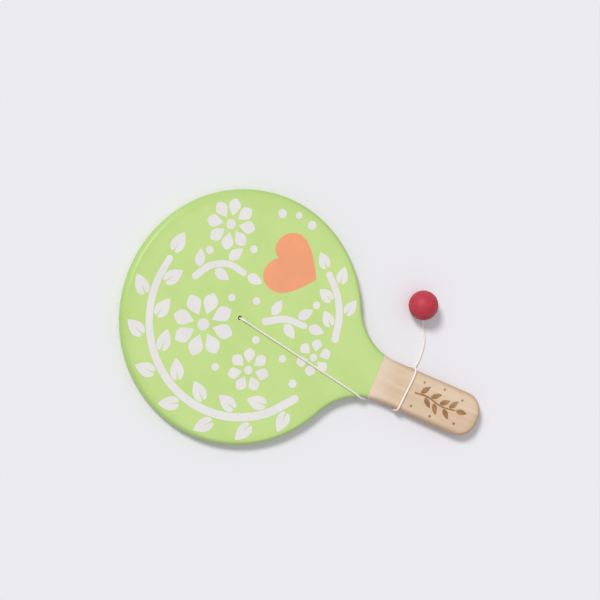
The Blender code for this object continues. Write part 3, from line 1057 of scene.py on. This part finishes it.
def dot_shape(centre, radius, sides=DOT_SIDES):
    """Outline of a round dot."""
    return [np.array(centre) + radius * direction(2 * math.pi * k / sides) for k in range(sides)]


def stem_shape(line, first_width, last_width):
    """Outline of a stem with round ends along a line."""
    line = np.array(line)
    tangent = unit_vectors(np.gradient(line, axis=0))
    normal = np.stack([-tangent[:, 1], tangent[:, 0]], axis=1)
    half = np.linspace(first_width, last_width, len(line))[:, None] / 2
    outline = list(line + normal * half)
    outline += round_stem_end(line[-1], normal[-1], half[-1])
    outline += list((line - normal * half)[::-1])
    outline += round_stem_end(line[0], -normal[0], half[0])
    return outline


def round_stem_end(centre, start, radius):
    """Points of the half circle at a stem's end, without its own ends, clockwise."""
    heading = angle_of(start)
    angles = [heading - math.pi * k / STEM_END_STEPS for k in range(1, STEM_END_STEPS)]
    return [centre + radius * direction(angle) for angle in angles]


def vine_shapes(points, widths, leaves, leaf_size, lean, gap, vein=0.0):
    """Outlines of a vine: its stem, its leaves by turns on either side, and one at its tip."""
    curve, length = smooth_curve(points)
    line = [curve(d) for d in np.linspace(0.0, length, max(STEM_STEPS, round(length)))]
    shapes = [stem_shape(line, *widths)]
    for number, along in enumerate(leaves):
        heading = angle_of(curve(along + 0.5) - curve(along - 0.5))
        turn = 1 if number % 2 == 0 else -1
        width = widths[0] + (widths[1] - widths[0]) * along / length
        base = curve(along) + direction(heading + turn * math.pi / 2) * (width / 2 + gap)
        shapes.append(leaf_shape(base, heading + turn * math.radians(lean), *leaf_size, vein=vein))
    heading = angle_of(line[-1] - line[-2])
    tip = line[-1] + direction(heading) * (widths[1] / 2 + gap)
    shapes.append(leaf_shape(tip, heading, *leaf_size, vein=vein))
    return shapes


def flower_shapes(centre, petals, inner, petal_size, turn, middle):
    """Outlines of a flower: a round middle and its petals."""
    shapes = [dot_shape(centre, middle)]
    for k in range(petals):
        angle = math.radians(turn) + 2 * math.pi * k / petals
        base = np.array(centre) + inner * direction(angle)
        shapes.append(leaf_shape(base, angle, *petal_size, fullest=PETAL_FULLEST))
    return shapes


def round_rim(places):
    """Places given by their reach from the head's centre and their angle in degrees."""
    return [tuple(reach * direction(math.radians(degrees))) for reach, degrees in places]


# The print in millimetres and degrees. A vine has the points of its stem, the widths of the stem's
# ends, the places of its leaves along it, their length and width, their lean, the gap between them
# and the stem, and the share of a leaf at which its slit ends.
RIM_ANGLES = (237, 216, 195, 174, 153, 132, 111, 90, 76)
VINES = [
    {
        "points": round_rim([(58.5, degrees) for degrees in RIM_ANGLES]),
        "widths": (5.0, 4.2),
        "leaves": [7, 17, 29, 39, 51, 61, 73, 83, 95, 105, 117, 127, 139, 149],
        "leaf_size": (14.0, 8.4),
        "lean": 38,
        "gap": 1.5,
        "vein": 0.55,
    },
    {
        "points": round_rim([(59.0, 280), (59.8, 293), (59.6, 306), (58.6, 318)]),
        "widths": (4.6, 4.0),
        "leaves": [6, 14, 23, 31],
        "leaf_size": (11.4, 7.2),
        "lean": 38,
        "gap": 1.4,
        "vein": 0.55,
    },
    {
        "points": [(11, 38), (20, 32), (25, 22), (24, 11)],
        "widths": (4.4, 3.6),
        "leaves": [5, 13.4, 21.8],
        "leaf_size": (10.5, 6.2),
        "lean": 48,
        "gap": 0.9,
    },
    {
        "points": [(3, -13), (9, -24), (10, -37)],
        "widths": (4.4, 3.6),
        "leaves": [5, 13, 20],
        "leaf_size": (10.5, 6.2),
        "lean": 48,
        "gap": 0.9,
    },
]
BURNED_SPRIG = {
    "points": [(0.2, -119.5), (1.0, -127), (-1.0, -139), (0, -148)],
    "widths": (1.2, 0.8),
    "leaves": [3.5, 7, 10.5, 14, 17.5, 21, 24.5],
    "leaf_size": (7.4, 3.3),
    "lean": 44,
    "gap": 0.3,
}
BURNED_DOTS = [
    # x, y, radius
    (8.2, -122.5, 0.8),
    (-8.0, -120.0, 0.8),
    (9.2, -136.5, 0.8),
    (-9.2, -134.0, 0.8),
    (7.4, -150.0, 0.8),
    (-7.4, -150.5, 0.8),
]
FLOWERS = [
    # centre, petals, reach of their feet, length and width, turn, radius of the middle
    ((47, 30), 8, 4.7, (10.6, 7.4), 12, 2.9),
    ((-13, 22), 8, 5.8, (13.4, 9.0), 4, 3.6),
    ((-27, -15), 7, 4.1, (9.0, 7.0), 20, 2.6),
    ((-5, -50), 6, 3.6, (7.6, 6.6), 8, 2.3),
]
DOTS = [
    # x, y, radius
    (65, 3, 2.7),
    (68, -7, 2.0),
    (66, -17, 2.7),
    (8, 12, 2.3),
    (39, 11, 2.3),
    (28, 36, 2.3),
    (-33, 5, 2.3),
    (12, -3, 2.3),
    (-13, -32, 2.3),
    (-9, -12, 2.3),
    (-24, -44, 2.6),
    (24, -39, 2.3),
]
HEART_NOTCH = (40.3, -5.3)
HEART_RIGHT = (58.2, -12.0)
HEART_TIP = (37.9, -32.6)
HEART_LEFT = (21.3, -11.0)
HEART_CURVES = [
    # start, the two handles that shape the curve, end
    (HEART_NOTCH, (45.7, 4.4), (58.2, -2.9), HEART_RIGHT),
    (HEART_RIGHT, (58.2, -21.0), (42.9, -29.6), HEART_TIP),
    (HEART_TIP, (34.9, -30.3), (21.3, -20.3), HEART_LEFT),
    (HEART_LEFT, (21.3, 0.4), (33.3, 4.0), HEART_NOTCH),
]


def heart_shape():
    """Outline of the heart, from the notch round the lobes and the tip."""
    outline = []
    for curve in HEART_CURVES:
        for t in np.arange(HEART_STEPS) / HEART_STEPS:
            shares = ((1 - t) ** 3, 3 * t * (1 - t) ** 2, 3 * t ** 2 * (1 - t), t ** 3)
            outline.append(np.array(shares) @ np.array(curve))
    return outline


def print_shapes():
    """Outlines of all the white print."""
    shapes = []
    for vine in VINES:
        shapes += vine_shapes(**vine)
    for flower in FLOWERS:
        shapes += flower_shapes(*flower)
    shapes += [dot_shape((x, y), radius) for x, y, radius in DOTS]
    return shapes


def sprig_shapes():
    """Outlines of the sprig that is burned into the handle."""
    shapes = vine_shapes(**BURNED_SPRIG)
    shapes += [dot_shape((x, y), radius, BURNED_DOT_SIDES) for x, y, radius in BURNED_DOTS]
    return shapes


def film_mesh(name, shapes):
    """Closed films on the board's face, one for each outline in millimetres."""
    points = []
    faces = []
    for outline in shapes:
        first = len(points)
        for z in (BOARD_THICKNESS - FILM_ROOT, BOARD_THICKNESS + FILM_HEIGHT):
            points += [(x * MM, HEAD_Y + y * MM, z) for x, y in outline]
        faces += [tuple(first + corner for corner in face) for face in ring_faces(2, len(outline))]
    return mesh_from(name, points, faces)


# Route of the cord

def face_run_side(reach):
    """X of the run over the face at a distance from the head's centre."""
    return HOLE_SIDE - FACE_RUN_LEAN * (reach - HOLE_REACH)


def neck_crossing(side):
    """Where the run over the face reaches the rounded edge of the neck, as a reach."""
    low = side.on_head[0]
    high = HANDLE_REACH
    for _ in range(NECK_HALVINGS):
        middle = (low + high) / 2
        if -face_run_side(middle) < side.half_width(middle) - EDGE_ROUND:
            low = middle
        else:
            high = middle
    return low


def stretch_lengths():
    """Lengths of the cord over a rounded edge, down the side and over a flat of the handle."""
    over_edge = (EDGE_ROUND + CORD_OFFSET) * math.pi / 2
    down_side = BOARD_THICKNESS - 2 * EDGE_ROUND
    over_flat = HANDLE_WIDTH_AT_NECK - 2 * EDGE_ROUND
    return [over_edge, down_side, over_edge, over_flat]


def distance_at_station(station):
    """Length of cord from the first station to a station."""
    lengths = stretch_lengths()
    whole = int(station)
    total = sum(lengths[k % len(lengths)] for k in range(whole))
    return total + (station - whole) * lengths[whole % len(lengths)]


def point_round_handle(side, station, reach):
    """The cord's centre round the board at a station and a reach."""
    whole = min(int(station), LAST_STATION - 1)
    part = station - whole
    half_turns, stretch = divmod(whole, STATIONS_A_HALF_TURN)
    half_flat = side.half_width(reach) - EDGE_ROUND
    middle = BOARD_THICKNESS / 2
    half_side = middle - EDGE_ROUND
    bend = EDGE_ROUND + CORD_OFFSET
    if stretch == 0:
        angle = part * math.pi / 2
        x = -half_flat - bend * math.sin(angle)
        z = half_side + bend * math.cos(angle)
    elif stretch == 1:
        x = -half_flat - bend
        z = half_side * (1 - 2 * part)
    elif stretch == 2:
        angle = part * math.pi / 2
        x = -half_flat - bend * math.cos(angle)
        z = -half_side - bend * math.sin(angle)
    else:
        x = half_flat * (2 * part - 1)
        z = -half_side - bend
    if half_turns % 2:
        x = -x
        z = -z
    return Vector((x, HEAD_Y - reach, middle + z))


def wrap_points(side):
    """Points of the cord from the neck's edge, once and a half round the handle."""
    start = neck_crossing(side)
    reaches = [start + share * (STRAND_REACH - start) for _, share in WRAP_ROUTE]
    positions = [distance_at_station(station) for station, _ in WRAP_ROUTE]
    reach_at, _ = smooth_curve(np.array(reaches)[:, None], positions)
    stations = np.linspace(0.0, LAST_STATION, LAST_STATION * STEPS_A_STATION + 1)
    return [
        point_round_handle(side, s, float(reach_at(distance_at_station(s))[0])) for s in stations
    ]


def face_run_points(side):
    """Points of the cord from the knot's recess, out of the hole and over the face."""
    heading = Vector((-FACE_RUN_LEAN, -1.0, 0.0)).normalized()
    hole = Vector((HOLE_SIDE, HOLE_Y, BOARD_THICKNESS))
    route = [hole + Vector((0, 0, KNOT_RECESS_DEPTH - BOARD_THICKNESS))]
    route += [hole + heading * out + Vector((0, 0, up)) for out, up in HOLE_ROUTE]
    curve, length = smooth_curve(route)
    return [Vector(curve(d)) for d in np.linspace(0.0, length, FACE_RUN_POINTS)]


def ball_frame():
    """The ball's place, its local -Z pointing out of the mouth that the cord goes into."""
    centre = Vector((BALL_SIDE, HEAD_Y - BALL_REACH, BALL_RADIUS))
    heading = Matrix.Rotation(BORE_HEADING, 4, "Z")
    slope = Matrix.Rotation(math.pi / 2 - BORE_SLOPE, 4, "Y")
    return Matrix.Translation(centre) @ heading @ slope


def ball_run_points(start, heading):
    """Points of the cord over the floor from the handle, into the ball and up to its knot."""
    frame = ball_frame()
    mouth = frame @ Vector((0, 0, -BALL_RADIUS - CLEARANCE))
    into = (frame.to_3x3() @ Vector((0, 0, 1))).normalized()
    flat = Vector((into.x, into.y, 0)).normalized()
    leaves_axis = mouth - into * STRAIGHT_INTO_BALL
    drop = leaves_axis.z - CORD_RADIUS
    slope = math.acos(max(-1.0, 1 - drop / RISE_RADIUS))
    half_slope = slope / 2
    touch = leaves_axis - flat * (RISE_RADIUS * math.sin(slope))
    touch.z = CORD_RADIUS
    rise = touch + flat * (RISE_RADIUS * math.sin(half_slope))
    rise.z = CORD_RADIUS + RISE_RADIUS * (1 - math.cos(half_slope))
    route = [start, start + heading * (2 * CORD_DIAMETER)]
    route += [Vector((x, HEAD_Y - reach, CORD_RADIUS)) for x, reach in FLOOR_ROUTE]
    route += [touch, rise, leaves_axis, mouth]
    curve, length = smooth_curve(route)
    points = [Vector(curve(d)) for d in np.linspace(0.0, length, BALL_RUN_POINTS)]
    for point in points:
        point.z = max(point.z, CORD_RADIUS)
    points.append(frame @ Vector((0, 0, -KNOT_LENGTH / 2 - CLEARANCE)))
    return points, mouth


def cover_relief(around, along, strands):
    """Height of the cover's weave, 0 in a valley and 1 on a strand, round and along the cord."""
    right = around * strands + along / COVER_PITCH
    left = around * strands - along / COVER_PITCH
    over = (np.floor(right) + np.floor(left)) % 2
    first = np.abs(np.sin(math.pi * right)) ** STRAND_ROUNDNESS
    second = np.abs(np.sin(math.pi * left)) ** STRAND_ROUNDNESS
    first *= np.where(over > 0.5, 1.0, STRAND_BELOW)
    second *= np.where(over > 0.5, STRAND_BELOW, 1.0)
    return np.maximum(first, second)


def whole_cord(side, on_floor, pivot):
    """The cord's line from the knot behind the board to the knot in the ball, and the ball's mouth."""
    wrap = [on_floor @ point for point in wrap_points(side)]
    heading = wrap[-1] - wrap[-2]
    heading.z = 0
    heading.normalize()
    run, mouth = ball_run_points(pivot, heading)
    run = eased(resampled(run, RING_SPACING)[0], BALL_RUN_EASE)
    points = [on_floor @ point for point in face_run_points(side)] + wrap + list(run)
    centres, _ = resampled(points, RING_SPACING)
    return resampled(eased(centres, CORD_EASE), RING_SPACING)[0], mouth


def swept_frames(tangents):
    """Two directions across a line at each of its points, which turn no more than the line does."""
    across = np.cross(tangents[0], (0.0, 0.0, 1.0))
    if np.linalg.norm(across) < NEARLY_PARALLEL:
        across = np.cross(tangents[0], (1.0, 0.0, 0.0))
    frames = []
    for tangent in tangents:
        across = across - tangent * float(across @ tangent)
        across /= np.linalg.norm(across)
        frames.append((across, np.cross(tangent, across)))
    return frames


def ring_round(centre, frame, reach):
    """A ring of points round a centre. Its reach is one number, or one for each point."""
    side, up = frame
    angles = 2 * math.pi * np.arange(CORD_SIDES) / CORD_SIDES
    return centre + np.outer(reach * np.cos(angles), side) + np.outer(reach * np.sin(angles), up)


def cap_rings(centre, outward, frame, radius, depth):
    """Rings of a round end, from its tip to the tube."""
    rings = []
    for angle in np.radians(CAP_ANGLES):
        middle = centre + outward * (radius * CAP_BULGE * math.sin(angle))
        rings.append(ring_round(middle, frame, (radius - depth * CAP_SINK) * math.cos(angle)))
    return rings


def woven_tube(name, points, radius, round_ends=(True, True)):
    """A tube along points with the weave of its cover in its surface."""
    centres, length = resampled(points, RING_SPACING)
    tangents = unit_vectors(np.gradient(centres, axis=0))
    frames = swept_frames(tangents)
    depth = min(settings().cover_depth, radius * COVER_DEPTH_LIMIT)
    strands = max(FEWEST_STRANDS, round(COVER_STRANDS * radius / CORD_RADIUS))
    turns = np.arange(CORD_SIDES) / CORD_SIDES
    tones = [cover_relief(turns, d, strands) for d in np.linspace(0.0, length, len(centres))]
    rings = []
    for centre, frame, relief in zip(centres, frames, tones):
        rings.append(ring_round(centre, frame, radius - depth * (1 - relief)))
    cap_tones = [np.full(CORD_SIDES, CAP_TONE)] * len(CAP_ANGLES)
    if round_ends[0]:
        rings = cap_rings(centres[0], -tangents[0], frames[0], radius, depth) + rings
        tones = cap_tones + tones
    if round_ends[1]:
        rings += cap_rings(centres[-1], tangents[-1], frames[-1], radius, depth)[::-1]
        tones = tones + cap_tones
    faces = ring_faces(len(rings), CORD_SIDES)
    mesh = mesh_from(name, np.concatenate(rings), faces, WEAVE_SHARP_ANGLE)
    # The relief also places the painted shade in the valleys of the cover
    add_tone(mesh, "relief", np.concatenate(tones))
    return mesh, centres, length


def knot_points(tail):
    """The line of a flat overhand knot: it comes down the axis, over itself, round and through."""
    strand = KNOT_STRAND_RADIUS
    wave = KNOT_WAVE * strand
    body = []
    for t in np.linspace(KNOT_OPENING, 2 * math.pi - KNOT_OPENING, KNOT_RING_POINTS):
        reach = KNOT_RING * strand + wave * math.cos(3 * t)
        body.append((reach * math.cos(2 * t), reach * math.sin(2 * t), wave * math.sin(3 * t)))
    x, y, _ = body[0]
    entry = [(share * x, share * y, (KNOT_CROWN + over) * strand) for share, over in KNOT_ENTRY]
    finish = np.array(body[-1])
    before = np.array(body[-6])
    tail_end = (finish - before) / np.linalg.norm(finish - before) * tail
    tail_end[2] -= KNOT_TAIL_DROOP * strand
    way_out = [tuple(finish + tail_end * share) for share in KNOT_TAIL]
    # A few points at either end of the ring are left out, so that the ways in and out join softly
    curve, length = smooth_curve(entry + body[4:-2] + way_out)
    return [Vector(curve(d)) for d in np.linspace(0.0, length, KNOT_POINTS)]


# Operators, one for each piece or group of like pieces

class PADDLEBALL_OT_stage(bpy.types.Operator):
    """Adds the plain floor, the soft light and the camera"""

    bl_idname = "paddle_ball.add_stage"
    bl_label = "Add Stage"

    def execute(self, context):
        """Builds the floor, the key light, the room's light and the camera."""
        self.add_floor(context)
        self.add_light(context)
        self.add_room(context)
        self.add_camera(context)
        context.scene.view_settings.view_transform = "Standard"
        return {"FINISHED"}

    def add_floor(self, context):
        """A wide round floor at z = 0."""
        points = []
        for k in range(FLOOR_SIDES):
            angle = 2 * math.pi * k / FLOOR_SIDES
            points.append((FLOOR_RADIUS * math.cos(angle), FLOOR_RADIUS * math.sin(angle), 0.0))
        mesh = bpy.data.meshes.new("floor")
        mesh.from_pydata(points, [], [tuple(range(FLOOR_SIDES))])
        material, tree, shader, place = start_material("floor_paper")
        cloud = use_group(tree, mottle_group(), Vector=place, Patch_Scale=6.0, Speck_Scale=400.0)
        base = colours().floor
        colour = mix_colours(tree, cloud["Patches"], shaded(base, FLOOR_SHADE), base)
        finish_material(tree, shader, colour, FLOOR_ROUGHNESS, cloud["Specks"], relief=0.00002)
        shader.inputs["Specular IOR Level"].default_value = 0.15
        mesh.materials.append(material)
        floor = bpy.data.objects.new("floor", mesh)
        context.scene.collection.objects.link(floor)

    def add_light(self, context):
        """One soft key light from the far side of the head and the ball's side."""
        light = bpy.data.lights.new("key_light", "SUN")
        light.energy = settings().key_light
        light.angle = settings().key_softness
        lamp = bpy.data.objects.new("key_light", light)
        flat = math.cos(KEY_HEIGHT)
        towards = Vector((
            math.cos(KEY_HEADING) * flat,
            math.sin(KEY_HEADING) * flat,
            math.sin(KEY_HEIGHT),
        ))
        lamp.rotation_euler = towards.to_track_quat("Z", "Y").to_euler()
        lamp.location = towards * KEY_DISTANCE
        context.scene.collection.objects.link(lamp)

    def add_room(self, context):
        """Even light from all round, seen as the floor's own pale tone."""
        world = bpy.data.worlds.new("room")
        world.use_nodes = True
        tree = world.node_tree
        tree.nodes.clear()
        even = add_node(tree, "ShaderNodeBackground", {0: (1, 1, 1, 1), 1: settings().room_light})
        seen = add_node(tree, "ShaderNodeBackground", {0: (*colours().floor, 1.0), 1: 1.0})
        ray = tree.nodes.new("ShaderNodeLightPath").outputs
        direct = math_node(tree, "MAXIMUM", ray["Is Camera Ray"], ray["Is Glossy Ray"])
        inputs = {0: direct, 1: even.outputs[0], 2: seen.outputs[0]}
        mixed = add_node(tree, "ShaderNodeMixShader", inputs)
        add_node(tree, "ShaderNodeOutputWorld", {"Surface": mixed.outputs[0]})
        context.scene.world = world

    def add_camera(self, context):
        """The camera, placed from what it looks at on the face of the board."""
        place = board_on_floor() @ Matrix.Translation((*CAMERA_TARGET, BOARD_THICKNESS))
        for angle, axis in ((CAMERA_HEADING, "Z"), (CAMERA_TILT, "Y"), (CAMERA_TURN, "Z")):
            place = place @ Matrix.Rotation(angle, 4, axis)
        data = bpy.data.cameras.new("camera")
        data.lens = LENS_MM
        data.sensor_width = SENSOR_MM
        data.sensor_fit = "HORIZONTAL"
        data.clip_start = 0.05
        data.clip_end = 50.0
        camera = bpy.data.objects.new("camera", data)
        camera.matrix_world = place @ Matrix.Translation((0, 0, CAMERA_DISTANCE))
        context.scene.collection.objects.link(camera)
        context.scene.camera = camera


class PADDLEBALL_OT_board(bpy.types.Operator):
    """Adds the wooden paddle with its hole and its paint"""

    bl_idname = "paddle_ball.add_board"
    bl_label = "Add Board"

    def execute(self, context):
        """Builds the board in its place."""
        mesh = cut_hole(board_mesh(HandleSide()))
        mesh.name = "painted_board"
        add_piece("painted_board", mesh, painted_wood(), "paddle",
                  ["paddle_board"], board_on_floor())
        return {"FINISHED"}


class PADDLEBALL_OT_prints(bpy.types.Operator):
    """Adds the heart, the vines and flowers on the head, and the burned sprig on the handle"""

    bl_idname = "paddle_ball.add_prints"
    bl_label = "Add Prints"

    def execute(self, context):
        """Builds each print as a thin film on the board's face."""
        place = board_on_floor()
        look = colours()
        white = printed_ink("white_ink", look.print_white, WHITE_INK_DEEP)
        coral = printed_ink("coral_ink", look.print_coral, CORAL_INK_DEEP)
        prints = (
            ("white_print", print_shapes(), white),
            ("heart_print", [heart_shape()], coral),
            ("burned_sprig", sprig_shapes(), burned_wood()),
        )
        for name, shapes, material in prints:
            add_piece(name, film_mesh(name, shapes), material, "paddle", (), place)
        return {"FINISHED"}


class PADDLEBALL_OT_ball(bpy.types.Operator):
    """Adds the rubber ball with the bore and the chamber for the cord's knot"""

    bl_idname = "paddle_ball.add_ball"
    bl_label = "Add Ball"

    def execute(self, context):
        """Turns the ball from its profile."""
        profile, tones = self.profile()
        sides = settings().ball_sides
        mesh = turned_mesh("rubber_ball", profile, sides)
        add_tone(mesh, "seam", [tones[0]] + list(np.repeat(tones[1:-1], sides)) + [tones[-1]])
        mesh.transform(ball_frame())
        add_piece("rubber_ball", mesh, ball_rubber(), "ball", ["ball"])
        return {"FINISHED"}

    def profile(self):
        """Half section of the ball from its chamber over its outside, and the seam's closeness."""
        bore = BALL_BORE_DIAMETER / 2
        chamber = KNOT_CHAMBER_DIAMETER / 2
        half = KNOT_CHAMBER_LENGTH / 2
        corner = CHAMBER_CORNER
        lip_reach = bore + BALL_LIP
        lip_z = math.sqrt(BALL_RADIUS ** 2 - lip_reach ** 2)
        profile = [(0.0, half), (chamber - corner, half), (chamber, half - corner)]
        profile += [(chamber, corner - half), (chamber - corner, -half), (bore, -half)]
        profile += [(reach, -z) for reach, z in rounded_mouth(bore, BALL_LIP, lip_z)]
        tones = [0.0] * len(profile)
        middle = math.pi / 2
        seam = SEAM_HALF_WIDTH / BALL_RADIUS
        first = math.asin(lip_reach / BALL_RADIUS)
        angles = list(np.linspace(first, middle - seam, RINGS_BELOW_SEAM))[1:]
        angles += [middle - seam * SEAM_FLANK, middle, middle + seam * SEAM_FLANK]
        angles += list(np.linspace(middle + seam, math.pi, RINGS_ABOVE_SEAM))[:-1]
        for angle in angles:
            closeness = max(0.0, 1 - abs(angle - middle) / seam)
            reach = BALL_RADIUS - SEAM_HEIGHT * (1 - closeness)
            profile.append((reach * math.sin(angle), -reach * math.cos(angle)))
            tones.append(closeness)
        profile.append((0.0, BALL_RADIUS - SEAM_HEIGHT))
        tones.append(0.0)
        return profile, tones


class PADDLEBALL_OT_knots(bpy.types.Operator):
    """Adds the knot behind the board and the knot inside the ball"""

    bl_idname = "paddle_ball.add_knots"
    bl_label = "Add Knots"

    def execute(self, context):
        """Ties an overhand knot at each end of the cord."""
        cover = cord_cover()
        crown = (KNOT_CROWN + 1) * KNOT_STRAND_RADIUS
        in_recess = Vector((HOLE_SIDE, HOLE_Y, KNOT_RECESS_DEPTH - KNOT_ROOM - crown))
        back = board_on_floor() @ Matrix.Translation(in_recess)
        in_chamber = Matrix.Translation((0, 0, crown + KNOT_ROOM - KNOT_CHAMBER_LENGTH / 2))
        inner = ball_frame() @ in_chamber @ Matrix.Rotation(math.pi, 4, "X")
        knots = (
            ("back_knot", "cord_back_knot", "paddle", back, BACK_KNOT_TAIL),
            ("ball_knot", "cord_ball_knot", "cord_end", inner, BALL_KNOT_TAIL),
        )
        for name, node, body, place, tail in knots:
            points = [place @ point for point in knot_points(tail)]
            mesh, _, _ = woven_tube(name, points, KNOT_STRAND_RADIUS, (False, True))
            add_piece(name, mesh, cover, body, [node])
        return {"FINISHED"}


class PADDLEBALL_OT_cord(bpy.types.Operator):
    """Adds the elastic cord: over the face, round the handle and over the floor to the ball"""

    bl_idname = "paddle_ball.add_cord"
    bl_label = "Add Cord"

    def execute(self, context):
        """Builds the cord in three pieces, the middle one where the ball's swing bends it."""
        on_floor = board_on_floor()
        pivot = Vector(JOINTS["ball_swing"]["pos_m"])
        line, mouth = whole_cord(HandleSide(), on_floor, pivot)
        middle = int(np.argmin(np.linalg.norm(line - np.array(pivot), axis=1)))
        reach = round(BEND_REACH / RING_SPACING)
        first = middle - reach
        last = middle + reach

        bend, _ = self.stretch("cord_bend", line[first:last + 1])
        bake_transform(bend)

        piece, facts = self.stretch("board_cord", line[:first + 1])
        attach(piece, "paddle")
        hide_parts("cord_face_run", "cord_handle_wrap")

        piece, facts = self.stretch("ball_cord", line[last:], (True, False))
        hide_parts("cord_ball_run", "cord_in_ball")
        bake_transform(piece)
        return {"FINISHED"}

    def stretch(self, name, line, round_ends=(True, True)):
        """One stretch of the cord, and the facts that its stretches share."""
        mesh, path, length = woven_tube(name, line, CORD_RADIUS, round_ends)
        piece = add_piece(name, mesh, bpy.data.materials["cord_cover"], None)
        facts = {
            "length": round(length, 4),
            "diameter": CORD_DIAMETER,
            "stiffness": "limp",
            "path": path[::PATH_STEP],
        }
        return piece, facts


class PADDLEBALL_PT_panel(bpy.types.Panel):
    """Lists the pieces of the paddle ball in the sidebar"""

    bl_label = "Paddle Ball"
    bl_idname = "PADDLEBALL_PT_panel"
    bl_space_type = "VIEW_3D"
    bl_region_type = "UI"
    bl_category = "Paddle Ball"

    def draw(self, context):
        """Shows the colours, the finishes and a button for each piece."""
        layout = self.layout
        for values in (context.scene.paddle_ball_colours, context.scene.paddle_ball_settings):
            box = layout.box()
            for name in values.__annotations__:
                box.prop(values, name)
        for operator in OPERATORS:
            layout.operator(operator.bl_idname)


OPERATORS = (
    PADDLEBALL_OT_stage,
    PADDLEBALL_OT_board,
    PADDLEBALL_OT_prints,
    PADDLEBALL_OT_ball,
    PADDLEBALL_OT_knots,
    PADDLEBALL_OT_cord,
)
CLASSES = (PaddleBallColours, PaddleBallSettings, *OPERATORS, PADDLEBALL_PT_panel)


def register():
    """Registers the classes and their properties."""
    for item in CLASSES:
        bpy.utils.register_class(item)
    bpy.types.Scene.paddle_ball_colours = PointerProperty(type=PaddleBallColours)
    bpy.types.Scene.paddle_ball_settings = PointerProperty(type=PaddleBallSettings)


def unregister():
    """Removes the properties and the classes."""
    del bpy.types.Scene.paddle_ball_settings
    del bpy.types.Scene.paddle_ball_colours
    for item in reversed(CLASSES):
        bpy.utils.unregister_class(item)


def main():
    """Builds every piece in order."""
    register()
    bpy.ops.paddle_ball.add_stage()
    bpy.ops.paddle_ball.add_board()
    bpy.ops.paddle_ball.add_prints()
    bpy.ops.paddle_ball.add_ball()
    bpy.ops.paddle_ball.add_knots()
    bpy.ops.paddle_ball.add_cord()


if __name__ == "__main__":
    main()
